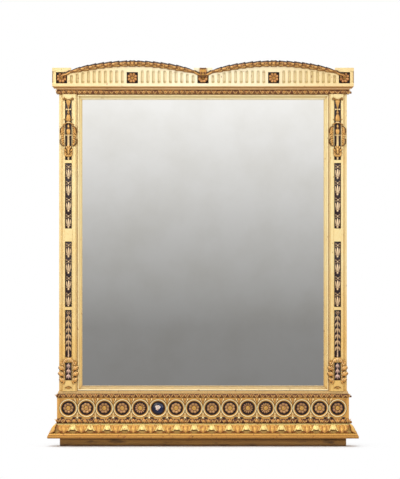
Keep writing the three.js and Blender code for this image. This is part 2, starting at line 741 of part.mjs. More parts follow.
function addGlazing() {
  const glazing = group();
  const glassHalf = sightWidth / 2 + glassLap;
  place(glazing, 'mirror_glass', block(-glassHalf, glassHalf, glassBack, glassFront, openingZ + fit,
    openingTopZ - sightMouldWidth + glassLap), mirrorPlate);
  const boardNames = ['backboard_left', 'backboard_middle', 'backboard_right'];
  const bay = 2 * (stileInner - fit);
  for (let k = 0; k < backboardCount; k += 1) {
    const left = -stileInner + fit + (k * bay) / backboardCount;
    place(glazing, boardNames[k] ?? `backboard_${k + 1}`, block(left + fit / 2,
      left + bay / backboardCount - fit / 2, backboardBack, backboardBack + backboardThickness,
      openingZ + fit, openingTopZ - fit), pine);
  }
  const battenHalf = bodyHalf - battenInset;
  const lowZ = openingZ + lowBattenRise;
  const highZ = openingTopZ - highBattenDrop - battenHeight;
  const battens = [['batten_bottom', lowZ], ['batten_middle', (lowZ + highZ) / 2], ['batten_top', highZ]];
  for (const [name, z] of battens) {
    place(glazing, name, block(-battenHalf, battenHalf, 0, battenThickness, z, z + battenHeight), pine);
  }
}

function addSightMouldings() {
  const outerWidth = 2 * stileInner;
  const outerHeight = openingTopZ - openingZ;
  const middle = (openingZ + openingTopZ) / 2;
  const sides = [
    ['sight_bottom', outerWidth, 0, 0, openingZ],
    ['sight_top', outerWidth, Math.PI, 0, openingTopZ],
    ['sight_left', outerHeight, Math.PI / 2, -stileInner, middle],
    ['sight_right', outerHeight, -Math.PI / 2, stileInner, middle],
  ];
  for (const [name, length, turn, x, z] of sides) {
    place(group(), name, sightLength(length), paleGilt, [x, 0, z]).rotation.y = turn;
  }
}

function addBase() {
  place(group(0, 0, baseZ), 'base_moulding', baseMoulding(), gilt);
  place(group(0, 0, lowerRopeZ), 'rope_lower', wrap(ropeProfile(ropeHeight - fit)), darkGilt);
  place(group(0, 0, upperRopeZ), 'rope_upper', upperRope(), darkGilt);
  const frieze = group(0, 0, friezeZ);
  place(frieze, 'frieze_board', friezeBoard(), gilt);
  const seat = -(friezeFront - roundelRecess + fit);
  for (let number = 1; number <= roundelCount; number += 1) {
    const at = [roundelX(number), seat, roundelZ];
    const petals = daisies.includes(number) ? 12 : 8;
    if (number === lostRosette) {
      place(frieze, 'roundel_06_glass', glassBoss(), blueGlass, at);
    } else {
      const name = `roundel_${String(number).padStart(2, '0')}_rosette`;
      place(frieze, name, rosette(roundelRosetteRadius, roundelRosetteRise, petals), gilt, at);
    }
  }
}

function addPilasters() {
  for (const [name, side] of [['left', -1], ['right', 1]]) {
    const pilaster = group(side * pilasterX);
    const board = pilasterBoard();
    const handed = side < 0 ? board.scale(-1, 1, 1) : board;
    place(pilaster, `pilaster_${name}`, handed, paleGilt);
    place(pilaster, `capital_carving_${name}`, capitalCarving(), gilt);
    place(pilaster, `foot_carving_${name}`, footCarving(), gilt);
  }
}

function addCrest() {
  place(group(0, 0, openingTopZ + fit), 'rope_crest', wrap(ropeProfile(crestRopeHeight - 2 * fit)), darkGilt);
  place(group(0, 0, coveZ), 'cornice', cornice(), gilt);
  const crest = group();
  place(crest, 'crest_board', crestBoard(), paleGilt);
  for (const [name, side] of [['left', -1], ['right', 1]]) {
    place(group(side * bayCentre), `garland_${name}`, cut(garland(), crestKeepOut(side)), darkGilt);
  }
  squareXs.forEach((x, k) => {
    const name = `crest_rosette_${k + 1}`;
    if (x === 0) {
      place(crest, name, buddedRosette(), gilt);
    } else {
      const seat = -(crestFront - squareRecess + fit);
      place(crest, name, rosette(crestRosetteRadius, crestRosetteRise, 8), gilt, [x, seat, squareZ]);
    }
  });
}

function addHangers() {
  for (const [name, side] of [['left', -1], ['right', 1]]) {
    const hanger = group(side * hangerX, carcassBack, hangerZ);
    place(hanger, `hanger_strap_${name}`, strap(), steel);
    place(hanger, `hanger_ring_${name}`, hangerRing(), steel, [0, eyeOut, 0]);
    screwDrops.forEach((drop, k) => {
      place(hanger, `hanger_screw_${name}_${k + 1}`, screw(), steel, [0, 0, -drop]);
    });
  }
}

addCarcass();
addGlazing();
addSightMouldings();
addBase();
addPilasters();
addCrest();
addHangers();

export default mirror;
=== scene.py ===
"""Overmantel mirror in carved giltwood, dressed over its fixed construction frame."""

import json
import logging
import math
from dataclasses import dataclass, field
from enum import Enum
from typing import Sequence

import bpy
import numpy as np
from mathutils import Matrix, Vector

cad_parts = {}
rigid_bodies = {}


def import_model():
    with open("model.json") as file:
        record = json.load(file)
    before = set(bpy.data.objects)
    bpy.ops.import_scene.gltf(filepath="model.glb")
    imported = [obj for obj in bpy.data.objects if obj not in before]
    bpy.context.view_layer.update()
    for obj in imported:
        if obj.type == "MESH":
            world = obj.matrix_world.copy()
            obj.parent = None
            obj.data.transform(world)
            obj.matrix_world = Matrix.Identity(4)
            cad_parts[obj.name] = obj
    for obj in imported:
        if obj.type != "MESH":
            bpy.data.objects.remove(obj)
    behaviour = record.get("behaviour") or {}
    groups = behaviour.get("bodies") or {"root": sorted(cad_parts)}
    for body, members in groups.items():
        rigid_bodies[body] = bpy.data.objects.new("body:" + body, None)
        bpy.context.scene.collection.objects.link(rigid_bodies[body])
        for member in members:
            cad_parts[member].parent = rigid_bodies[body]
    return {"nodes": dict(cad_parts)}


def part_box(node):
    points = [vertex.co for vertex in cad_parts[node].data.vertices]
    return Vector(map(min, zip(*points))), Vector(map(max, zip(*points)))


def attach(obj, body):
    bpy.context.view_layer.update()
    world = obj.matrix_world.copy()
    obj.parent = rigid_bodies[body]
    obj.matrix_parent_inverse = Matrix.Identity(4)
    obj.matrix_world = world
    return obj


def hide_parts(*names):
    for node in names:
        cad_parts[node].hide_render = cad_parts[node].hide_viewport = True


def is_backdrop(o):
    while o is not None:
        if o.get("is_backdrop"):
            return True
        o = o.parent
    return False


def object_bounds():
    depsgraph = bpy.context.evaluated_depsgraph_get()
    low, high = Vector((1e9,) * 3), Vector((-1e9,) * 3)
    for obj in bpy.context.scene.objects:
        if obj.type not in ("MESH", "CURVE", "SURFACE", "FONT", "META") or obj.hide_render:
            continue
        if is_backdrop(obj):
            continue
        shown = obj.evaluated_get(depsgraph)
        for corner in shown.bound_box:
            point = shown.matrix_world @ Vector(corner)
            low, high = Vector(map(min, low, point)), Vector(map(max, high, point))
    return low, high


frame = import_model()
CAD_LOW, CAD_HIGH = (tuple(corner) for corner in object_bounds())
MM = 0.001
WALL = CAD_HIGH[1] / MM
BODY = "frame"
SIDES = (-1, 1)
OUTWARD = np.array((0.0, 1.0, 0.0))

log = logging.getLogger("mirror")
Colour = tuple[float, float, float, float]
Point = Sequence[float]
Socket = bpy.types.NodeSocket
Material = bpy.types.Material
Array = np.ndarray
Values = Array | float
Mesh = bpy.types.Mesh


class Slot(Enum):
    """Material slots of the record."""

    GILT = "gilt_wood"
    PALE = "pale_gilt_wood"
    DARK = "dark_gilt_wood"
    PAINT = "painted_wood"
    STEEL = "steel"
    GLASS = "blue_glass"


def tone(code: str) -> Colour:
    """Returns the linear colour of a hex code."""
    values = [int(code[k:k + 2], 16) / 255 for k in (0, 2, 4)]
    linear = [v / 12.92 if v <= 0.04045 else ((v + 0.055) / 1.055) ** 2.4 for v in values]
    return (*linear, 1.0)


def unit(vector: Array) -> Array:
    """Returns vectors scaled to length one along the last axis."""
    return vector / np.maximum(np.linalg.norm(vector, axis=-1, keepdims=True), 1e-9)


def circle(sides: int) -> Array:
    """Returns the angles of equal steps round a circle."""
    return np.linspace(0, 2 * math.pi, sides, endpoint=False)


def hoop(x: float, z: float, reach: Values, out: Values, angle: Array) -> Array:
    """Returns a ring of points that faces the viewer; its radius and its depth may change round it."""
    level = np.broadcast_to(out, angle.shape)
    return np.column_stack((x + reach * np.cos(angle), level, z + reach * np.sin(angle)))


@dataclass(frozen=True)
class Span:
    """Extent of a construction piece in millimetres: x, distance out from the wall, and z."""

    x0: float
    x1: float
    out0: float
    out1: float
    z0: float
    z1: float

    @classmethod
    def of(cls, node: str) -> "Span":
        """Returns the extent of one node of the frame."""
        (x0, y0, z0), (x1, y1, z1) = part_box(node)
        return cls(x0 / MM, x1 / MM, WALL - y1 / MM, WALL - y0 / MM, z0 / MM, z1 / MM)

    @property
    def mid(self) -> tuple[float, float, float]:
        """Middle point as x, out and z."""
        return (self.x0 + self.x1) / 2, (self.out0 + self.out1) / 2, (self.z0 + self.z1) / 2

    @property
    def depth(self) -> float:
        """Depth from back to front."""
        return self.out1 - self.out0


@dataclass(frozen=True)
class Seat:
    """Place that ornament is measured from, mirrored where its side is -1."""

    x: float = 0.0
    z: float = 0.0
    side: int = 1

    def at(self, dx: float, out: float, dz: float) -> tuple[float, float, float]:
        """Returns a point this far aside and up, at a distance out from the wall."""
        return self.x + self.side * dx, out, self.z + dz

    def path(self, points: Sequence[Point], count: int) -> Array:
        """Returns a smooth line of count points through (aside, out, up) points."""
        return smooth_path([self.at(*point) for point in points], count)


STILE = Span.of("stile_right")
ROPE = Span.of("rope_lower")
DATUM = ROPE.out1 - (ROPE.x1 - STILE.x1)
FIT = Span.of("base_moulding").z0 - Span.of("plinth").z1


# ---- Carving -----------------------------------------------------------------------------------------

class Carver:
    """Gathers closed shells, given in millimetres as (x, out, z), into one mesh in metres.

    Its accent is the tint of what is added next, from -1 for the finish's light tone to 1 for its dark one,
    used both for the tones of parts and for painted light and shade, and its edge is how much darker the rims
    of leaves and rods get, a painted shade.
    """

    def __init__(self, wall: float = WALL, accent: float = 0.0, edge: float = 0.0) -> None:
        """Args:
            wall: y of the plane that out is measured from, or 0 for a piece that will be repeated.
            accent, edge: what the first shells get.
        """
        self.wall, self.accent, self.edge = wall, accent, edge
        self.points: list[Array] = []
        self.accents: list[Array] = []
        self.faces: list[list[int]] = []
        self.total = 0

    def shell(self, points: Array, faces: list[list[int]], tint: Array | None = None) -> None:
        """Adds a closed shell and turns its faces outwards.

        Args:
            points: corners as (x, out, z).
            faces: corner numbers of each face.
            tint: accent of each corner, in place of the carver's own.
        """
        given = np.asarray(points, float).reshape(-1, 3)
        world = np.column_stack((given[:, 0], self.wall - given[:, 1], given[:, 2])) * MM
        fans = np.array([(f[0], f[k], f[k + 1]) for f in faces for k in range(1, len(f) - 1)])
        a, b, c = (world[fans[:, k]] - world[0] for k in range(3))
        step = 1 if np.einsum("ij,ij->i", a, np.cross(b, c)).sum() > 0 else -1
        shades = self.accent if tint is None else np.asarray(tint, float).reshape(-1)
        self.points.append(world)
        self.accents.append(np.broadcast_to(shades, len(world)).astype(float))
        self.faces.extend([i + self.total for i in f[::step]] for f in faces)
        self.total += len(world)

    @staticmethod
    def _skin(here: Array, after: Array) -> list[list[int]]:
        """Returns the faces between rings of corner numbers and the rings after them."""
        quads = np.stack((here, np.roll(here, -1, 1), np.roll(after, -1, 1), after), -1)
        return quads.reshape(-1, 4).tolist()

    def loops(self, rings: Array, looped: bool = False, tint: Array | None = None) -> None:
        """Skins rings of equal count, with flat ends unless looped.

        Args:
            rings: array of rings of points.
            looped: joins the last ring to the first.
            tint: accent of each point, or of each place round the rings.
        """
        rings = np.asarray(rings, float)
        index = np.arange(rings.shape[0] * rings.shape[1]).reshape(rings.shape[:2])
        if looped:
            faces = self._skin(index, np.roll(index, -1, 0))
        else:
            faces = self._skin(index[:-1], index[1:]) + [index[0, ::-1].tolist(), index[-1].tolist()]
        self.shell(rings, faces, None if tint is None else np.broadcast_to(tint, index.shape))

    def between(self, front: Array, back: Array | float, tint: Array | None = None) -> None:
        """Fills the space between two grids of points of the same shape.

        Args:
            front: the front grid.
            back: the back one, or the distance from the wall of a flat one.
            tint: accent of each point of the front.
        """
        if np.ndim(back) == 0:
            back = np.stack((front[..., 0], np.full(front.shape[:2], back), front[..., 2]), -1)
        rings = np.concatenate((front, back[:, ::-1]), axis=1)
        index = np.arange(rings.shape[0] * rings.shape[1]).reshape(rings.shape[:2])
        end = rings.shape[1] - 1
        faces = self._skin(index[:-1], index[1:])
        for row, step in ((index[0], 1), (index[-1], -1)):
            faces += [[row[j + 1], row[j], row[end - j], row[end - 1 - j]][::step] for j in range(end // 2)]
        if tint is not None:
            tint = np.broadcast_to(tint, front.shape[:2])
            tint = np.concatenate((tint, tint[:, ::-1]), axis=1)
        self.shell(rings, faces, tint)

    def box(self, span: Span, ease: float = 0.8) -> None:
        """Adds a block whose edges are eased.

        Args:
            span: its extent.
            ease: width of the chamfer.
        """
        rings, back, front = [], span.out0, span.out1
        for out, inset in ((back, ease), (back + ease, 0), (front - ease, 0), (front, ease)):
            x0, x1, z0, z1 = span.x0 + inset, span.x1 - inset, span.z0 + inset, span.z1 - inset
            rings.append([(x0, out, z0 + ease), (x0 + ease, out, z0), (x1 - ease, out, z0),
                          (x1, out, z0 + ease), (x1, out, z1 - ease), (x1 - ease, out, z1),
                          (x0 + ease, out, z1), (x0, out, z1 - ease)])
        self.loops(np.array(rings))

    def tube(self, path: Sequence[Point], radii: Sequence[float] | float, sides: int = 10, flat: float = 1.0,
             ribs: float = 0.0) -> None:
        """Adds a rod along a path that lies mostly across the view.

        Args:
            path: points as (x, out, z).
            radii: radius at each point, at both ends, or everywhere.
            sides: corners of its section.
            flat: its depth as a share of its width.
            ribs: how deep the grooves along it are, as a share of its radius.
        """
        path = np.asarray(path, float)
        ends = np.ndim(radii) == 1 and len(radii) == 2
        radii = np.linspace(*radii, len(path)) if ends else np.broadcast_to(radii, len(path))
        along = unit(np.gradient(path, axis=0))
        side = unit(np.cross(along, OUTWARD))
        lift = np.cross(side, along)
        angle = circle(sides)
        reach = radii[:, None] * (1 + ribs * np.cos(4 * angle))[None, :]
        rings = (path[:, None] + (reach * np.cos(angle))[..., None] * side[:, None]
                 + (reach * np.sin(angle) * flat)[..., None] * lift[:, None])
        # Rods get darker towards their sides by edge: painted shade.
        self.loops(rings, tint=self.accent + self.edge * np.abs(np.cos(angle)) ** 3)

    def scroll(self, seat: Seat, stem: Sequence[Point], count: int, eye: Point, winding: Sequence[float],
               radii: tuple[float, float], sides: int = 9, flat: float = 0.85, ribs: float = 0.0) -> Array:
        """Adds a rod that follows a stem and winds up in a volute.

        Args:
            seat: what its points are measured from.
            stem, count: points that it runs through first, and how many it gets there.
            eye: middle of the volute.
            winding: start, end, wide, tight and count, as in spiral.
            radii: radius at its foot and at its end.
            sides, flat, ribs: as in tube.

        Returns:
            Its middle line.
        """
        line = np.vstack((seat.path(stem, count), spiral(*seat.at(*eye), *winding, seat.side)))
        self.tube(line, radii, sides, flat, ribs)
        return line

    def _tints(self, profile: Sequence[Point]) -> Array:
        """Returns the accent of each point of a profile: its third value, or else the carver's own."""
        return np.array([[*point, self.accent][2] for point in profile])

    def turned(self, profile: Sequence[Point], x: float, out: float, z: float, sides: int = 16,
               squash: float = 1.0, gadroons: int = 0) -> None:
        """Adds a piece turned about an upright axis.

        Args:
            profile: (radius, height) points from the foot up, each with its accent if it has one of its own.
            x, out, z: foot of its axis.
            sides: corners of its section.
            squash: its depth as a share of its width.
            gadroons: number of ridges round it.
        """
        angle = circle(sides)
        swell = 1 + (0.07 * np.cos(gadroons * angle) if gadroons else 0 * angle)
        rings = [np.column_stack((x + max(r, 0.15) * swell * np.cos(angle),
                                  out + squash * max(r, 0.15) * swell * np.sin(angle),
                                  np.full(sides, z + height))) for r, height, *_ in profile]
        # Valleys between gadroons, or else the sides, get darker by edge: painted shade.
        valley = (1 - np.cos(gadroons * angle)) / 2 if gadroons else np.abs(np.cos(angle)) ** 3
        self.loops(np.array(rings), tint=self._tints(profile)[:, None] + self.edge * 0.6 * valley[None, :])

    def facing(self, profile: Sequence[Point], x: float, z: float, sides: int = 32, looped: bool = False
               ) -> None:
        """Adds a piece turned about an axis that points at the viewer.

        Args:
            profile: (radius, out) points, each with its accent if it has one of its own.
            x, z: its centre.
            sides: corners of its section.
            looped: joins the last ring to the first.
        """
        rings = [hoop(x, z, r, out, circle(sides)) for r, out, *_ in profile]
        self.loops(np.array(rings), looped, self._tints(profile)[:, None])

    def leaf(self, root: Point, tip: Point, width: float, lift: float = 3.0, curl: float = 0.0,
             lobes: int = 0, bend: float = 0.0, thickness: float = 1.4, steps: tuple[int, int] = (12, 7)
             ) -> None:
        """Adds a leaf with a midrib, standing out from root to tip.

        Args:
            root, tip: its ends as (x, out, z).
            width: its greatest width.
            lift: how far its middle stands out.
            curl: how far its tip turns out.
            lobes: number of lobes along each edge.
            bend: how far its middle sways to one side.
            thickness: of the leaf.
            steps: rows along it and across it.
        """
        root, tip = np.asarray(root, float), np.asarray(tip, float)
        along = tip - root
        side = unit(np.cross(along, OUTWARD))
        up = unit(np.cross(side, along))
        u = np.linspace(0, 1, steps[0])[:, None]
        v = np.linspace(-1, 1, steps[1])[None, :]
        half = width / 2 * (0.05 + 0.95 * np.sin(math.pi * (0.05 + 0.93 * u ** 0.8)) ** 0.8)
        notch = np.abs(np.cos(math.pi * lobes * u)) ** 3 if lobes else 0.0
        half = half * (1 - 0.3 * notch)
        arch = np.sin(math.pi * u)
        ridge = 0.12 * width * (1 - np.abs(v)) ** 1.5 - 0.1 * width * v ** 2 * arch
        rise = lift * arch + curl * u ** 3 + ridge * np.sqrt(np.sin(math.pi * (0.04 + 0.9 * u)))
        middle = root + along * u[..., None]
        front = middle + side * (bend * arch + v * half)[..., None] + up * rise[..., None]
        # Rims and the notches between lobes get darker by edge: painted shade.
        rim = np.clip(np.abs(v) ** 2.5 * (1 - 0.4 * u) + 0.6 * notch * np.abs(v) - 0.3 * u ** 3, -0.3, 1)
        self.between(front, front - up * thickness, self.accent + self.edge * rim)

    def leaves(self, rows: Sequence[Point], seat: Seat, back: float, front: float, bend: float = 0.0,
               **shape: object) -> None:
        """Adds leaves that are carved alike.

        Args:
            rows: x and z of the root, x and z of the tip, width and accent of each.
            seat: what they are measured from.
            back, front: distance of their roots and their tips from the wall.
            bend: how far their middles sway.
            shape: their other measures, as in leaf.
        """
        for x0, z0, x1, z1, width, shade in rows:
            self.accent = shade
            self.leaf(seat.at(x0, back, z0), seat.at(x1, front, z1), width, bend=seat.side * bend, **shape)

    def flower(self, x: float, z: float, seat: float, radius: float, rise: float, petals: int,
               turn: float = 0.0, eye: float = 0.3, split: float = 0.4) -> None:
        """Adds a carved flower seen from the front, its eye in the finish's light tone.

        Args:
            x, z: its centre.
            seat: distance of its back from the wall.
            radius, rise: its size.
            petals: number of outer petals.
            turn: rotation in radians.
            eye: radius of its ringed eye as a share of its own.
            split: how deep the clefts between the petals are.
        """
        angle = circle(10 * petals)
        lobe = np.abs(np.cos(petals * (angle - turn) / 2))
        edge = radius * (1 - 0.34 * split + 0.34 * split * lobe ** 0.6)
        rings, tints = [hoop(x, z, edge, seat, angle)], [np.ones(len(angle))]
        for share in np.linspace(1, eye * 0.8, 15):
            t = max(0.0, (share - eye) / (1 - eye))
            height = 0.26 + 0.55 * math.sin(math.pi * 0.62 * t) - 1.4 * max(0.0, t - 0.86)
            valley = 1 - split * (1 - lobe) ** 1.1 * math.sqrt(t)
            vein = 0.07 * np.exp(-((1 - lobe) / 0.006) ** 2) * t
            reach = share * (edge * t + radius * 0.8 * (1 - t))
            rings.append(hoop(x, z, reach, seat + rise * (height * valley - vein), angle))
            # Petals darken in their clefts, at their outer rim and next to the eye: painted shade.
            tints.append(self.accent + 0.9 * (1 - lobe) ** 1.5 * t ** 0.5 + 0.9 * max(0.0, t - 0.84) / 0.16
                         + 0.8 * max(0.0, 0.2 - t) / 0.2)
        self.loops(np.array(rings), tint=np.array(tints))
        # The eye's dome darkens at its foot: painted shade.
        dome = ((0.97, 0.2, 0.8), (1.02, 0.5, 0.0), (0.95, 0.74, -0.8), (0.8, 0.84, -1), (0.62, 0.8, -0.6),
                (0.48, 0.74, 0.2), (0.34, 0.84, -0.3), (0.2, 0.93, -0.6), (0.03, 0.96, -0.6))
        self.facing([(eye * radius * r, seat + rise * h, tint) for r, h, tint in dome], x, z, 24)

    def wrap(self, profile: Sequence[tuple[float | None, ...]], z: float) -> None:
        """Adds a moulding mitred round the front and both sides of the carcass.

        Args:
            profile: (reach from the datum, height) points, each with its accent if it has one of its own;
                None is the face laid against the carcass.
            z: its foot.
        """
        rings = []
        for side, at_front in ((-1, False), (-1, True), (1, True), (1, False)):
            rings.append([])
            for reach, height, *_ in profile:
                half = STILE.x1 + (FIT if reach is None else reach)
                out = STILE.out1 + FIT if reach is None else DATUM + reach
                rings[-1].append((side * half, out if at_front else STILE.out0, z + height))
        self.loops(np.array(rings), tint=self._tints(profile))

    def mesh(self, name: str) -> Mesh:
        """Returns the gathered shells as one mesh."""
        return as_mesh(name, np.vstack(self.points), self.faces, np.concatenate(self.accents))

    def piece(self, name: str, material: Material, node: str, slot: Slot, body: str = BODY,
              smooth: float = 40.0) -> None:
        """Makes the finished piece of what was gathered. Args are as in finish_piece; slot is not used."""
        finish_piece(name, self.mesh(name), material, node, body, smooth)


def as_mesh(name: str, points: Array, faces: list[list[int]], accents: Array) -> Mesh:
    """Returns a mesh whose accent attribute says how much of its finish's accent colour each point takes."""
    mesh = bpy.data.meshes.new(name)
    mesh.from_pydata(points.tolist(), [], faces)
    mesh.attributes.new("accent", "FLOAT", "POINT").data.foreach_set("value", accents.astype(np.float32))
    mesh.update()
    return mesh


def finish_piece(name: str, mesh: Mesh, material: Material, node: str, body: str = BODY,
                 smooth: float = 40.0) -> None:
    """Makes an object of a mesh, shades it and gives it to its body.

    Args:
        name: the piece's name.
        mesh: its shape.
        material: its finish.
        node: construction node that it stands for.
        body: the body it rides on.
        smooth: edges sharper than this many degrees stay sharp.
    """
    mesh.materials.clear()
    mesh.materials.append(material)
    mesh.shade_smooth()
    mesh.set_sharp_from_angle(angle=math.radians(smooth))
    piece = bpy.data.objects.new(name, mesh)
    bpy.context.scene.collection.objects.link(piece)
    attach(piece, body)
    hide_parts(node)
    log.info("%s: %d faces", name, len(mesh.polygons))


def spiral(x: float, out: float, z: float, start: float, end: float, wide: float, tight: float,
           count: int = 22, hand: int = 1) -> Array:
    """Returns points of a scroll.

    Args:
        x, out, z: its eye.
        start, end: angles in turns.
        wide, tight: radius at the start and at the end.
        count: number of points.
        hand: 1, or -1 for the mirrored scroll.
    """
    t = np.linspace(0, 1, count)
    angle = 2 * math.pi * (start + (end - start) * t)
    radius = wide + (tight - wide) * t
    across = x + hand * radius * np.cos(angle)
    return np.column_stack((across, np.full(count, out), z + radius * np.sin(angle)))


def smooth_path(points: Sequence[Point], count: int) -> Array:
    """Returns a smooth line of count points through the given ones."""
    given = np.asarray(points, float)
    t = np.linspace(0, len(given) - 1, count)
    k = np.clip(t.astype(int), 0, len(given) - 2)
    f = (t - k)[:, None]
    before, here = given[np.maximum(k - 1, 0)], given[k]
    after, beyond = given[k + 1], given[np.minimum(k + 2, len(given) - 1)]
    return 0.5 * (2 * here + (after - before) * f + (2 * before - 5 * here + 4 * after - beyond) * f ** 2
                  + (3 * here - before - 3 * after + beyond) * f ** 3)


# ---- Node trees --------------------------------------------------------------------------------------

class Nodes:
    """Adds nodes to one tree."""

    def __init__(self, tree: bpy.types.NodeTree) -> None:
        """Takes the tree that they go into."""
        self.tree = tree

    def node(self, kind: str, inputs: dict[str | int, object] | None = None, **settings: object
             ) -> bpy.types.Node:
        """Returns a new node with its inputs linked or set.

        Args:
            kind: the node's type, without ShaderNode where it begins so.
            inputs: sockets or values by input name or number.
            settings: attributes of the node.
        """
        node = self.tree.nodes.new(kind if "Node" in kind else f"ShaderNode{kind}")
        for key, value in settings.items():
            setattr(node, key, value)
        for key, value in (inputs or {}).items():
            self.feed(node.inputs[key], value)
        return node

    def feed(self, socket: Socket, value: object) -> None:
        """Links or sets one input."""
        if isinstance(value, Socket):
            self.tree.links.new(value, socket)
        else:
            socket.default_value = value

    def math(self, operation: str, *values: Socket | float) -> Socket:
        """Returns the result of a Math node."""
        return self.node("Math", dict(enumerate(values)), operation=operation).outputs[0]


class Layout(Enum):
    """How a repeated piece is set out."""

    ROW = "row"
    ARC = "arc"


class Repeater(Nodes):
    """Geometry Nodes tree that sets copies of one piece along a straight run or along an arc."""

    SHARED = (("Geometry", "Geometry"), ("Piece", "Object"), ("Finish", "Material"), ("Count", "Int"))
    SOCKETS = {
        Layout.ROW: (("Start", "Vector"), ("End", "Vector"), ("Turn", "Vector"), ("Vary", "Float"),
                     ("Seed", "Int")),
        Layout.ARC: (("Centre", "Vector"), ("Radius", "Float"), ("From", "Float"), ("To", "Float"),
                     ("Thin", "Float")),
    }

    def __init__(self, layout: Layout) -> None:
        """Builds the tree of one layout."""
        super().__init__(bpy.data.node_groups.new(f"carving_{layout.value}", "GeometryNodeTree"))
        face = self.tree.interface
        self.ids = {name: face.new_socket(name, in_out="INPUT", socket_type=f"NodeSocket{kind}").identifier
                    for name, kind in self.SHARED + self.SOCKETS[layout]}
        face.new_socket("Geometry", in_out="OUTPUT", socket_type="NodeSocketGeometry")
        self.given = self.node("NodeGroupInput").outputs
        piece = self.node("GeometryNodeObjectInfo", {"Object": self.given["Piece"]}).outputs["Geometry"]
        points, euler, size = self._row() if layout is Layout.ROW else self._arc()
        turn = self.node("FunctionNodeEulerToRotation", {"Euler": euler}).outputs["Rotation"]
        copies = self.node("GeometryNodeInstanceOnPoints", {"Points": points, "Instance": piece,
                                                            "Rotation": turn, "Scale": size})
        real = self.node("GeometryNodeRealizeInstances", {"Geometry": copies.outputs["Instances"]})
        dressed = self.node("GeometryNodeSetMaterial", {"Geometry": real.outputs["Geometry"],
                                                        "Material": self.given["Finish"]})
        self.node("NodeGroupOutput", {"Geometry": dressed.outputs["Geometry"]})

    def _row(self) -> tuple[Socket, Socket, Socket]:
        """Returns points, turns and sizes on a straight run, where each copy strays by its share of Vary."""
        given = self.given
        line = self.node("GeometryNodeMeshLine", {"Count": given["Count"], "Start Location": given["Start"],
                                                  "Offset": given["End"]}, mode="END_POINTS")
        least = self.math("SUBTRACT", 1.0, given["Vary"])
        size = self.node("FunctionNodeRandomValue", {0: least, 1: (1, 1, 1), "Seed": given["Seed"]},
                         data_type="FLOAT_VECTOR")
        back = self.math("MULTIPLY", given["Vary"], -1.0)
        lean = self.node("FunctionNodeRandomValue", {2: back, 3: given["Vary"], "Seed": given["Seed"]})
        tilt = self.node("CombineXYZ", {"Y": lean.outputs[1]}).outputs["Vector"]
        euler = self.node("VectorMath", {0: given["Turn"], 1: tilt})
        return line.outputs["Mesh"], euler.outputs["Vector"], size.outputs[0]

    def _arc(self) -> tuple[Socket, Socket, Socket]:
        """Returns points, turns and sizes on an arc in XZ, where copies shrink towards its start."""
        given = self.given
        line = self.node("GeometryNodeMeshLine", {"Count": given["Count"]}).outputs["Mesh"]
        index = self.node("GeometryNodeInputIndex").outputs["Index"]
        share = self.math("DIVIDE", index, self.math("SUBTRACT", given["Count"], 1.0))
        swept = self.math("MULTIPLY", share, self.math("SUBTRACT", given["To"], given["From"]))
        angle = self.math("ADD", given["From"], swept)
        at = self.node("CombineXYZ", {axis: self.math("MULTIPLY", self.math(wave, angle), given["Radius"])
                                      for axis, wave in (("X", "SINE"), ("Z", "COSINE"))}).outputs["Vector"]
        points = self.node("GeometryNodeSetPosition", {"Geometry": line, "Position": at,
                                                       "Offset": given["Centre"]})
        euler = self.node("CombineXYZ", {"Y": angle})
        away = self.math("POWER", self.math("SUBTRACT", 1.0, share), 4.0)
        grown = self.math("COSINE", self.math("MULTIPLY", away, math.pi / 2))
        more = self.math("MULTIPLY", grown, self.math("SUBTRACT", 1.0, given["Thin"]))
        return points.outputs["Geometry"], euler.outputs["Vector"], self.math("ADD", given["Thin"], more)

    def lay(self, sample: Carver, finish: Material, **values: object) -> Mesh:
        """Lays copies of a carving and returns them as a plain mesh.

        Args:
            sample: the carving, with its own wall at 0.
            finish: its material.
            values: the tree's other inputs by name.
        """
        piece = bpy.data.objects.new("sample", sample.mesh("sample"))
        holder = bpy.data.objects.new("holder", bpy.data.meshes.new("holder"))
        for thing in (piece, holder):
            bpy.context.scene.collection.objects.link(thing)
        modifier = holder.modifiers.new("repeat", "NODES")
        modifier.node_group = self.tree
        for name, value in {"Piece": piece, "Finish": finish, **values}.items():
            modifier[self.ids[name]] = value
        graph = bpy.context.evaluated_depsgraph_get()
        mesh = bpy.data.meshes.new_from_object(holder.evaluated_get(graph), depsgraph=graph)
        holder.modifiers.remove(modifier)
        bpy.data.objects.remove(holder)
        bpy.data.objects.remove(piece)
        return mesh


def together(name: str, meshes: Sequence[Mesh]) -> Mesh:
    """Returns one mesh that holds all the given ones, with their accents."""
    points, faces, accents, start = [], [], [], 0
    for mesh in meshes:
        count = len(mesh.vertices)
        flat, accent = np.empty(count * 3), np.empty(count)
        mesh.vertices.foreach_get("co", flat)
        mesh.attributes["accent"].data.foreach_get("value", accent)
        points.append(flat.reshape(-1, 3))
        accents.append(accent)
        faces += [[corner + start for corner in face.vertices] for face in mesh.polygons]
        start += count
    return as_mesh(name, np.vstack(points), faces, np.concatenate(accents))


def spot(x: float, out: float, z: float) -> tuple[float, float, float]:
    """Returns a point in metres from x, distance out from the wall, and z in millimetres."""
    return x * MM, (WALL - out) * MM, z * MM


# ---- Finishes ----------------------------------------------------------------------------------------

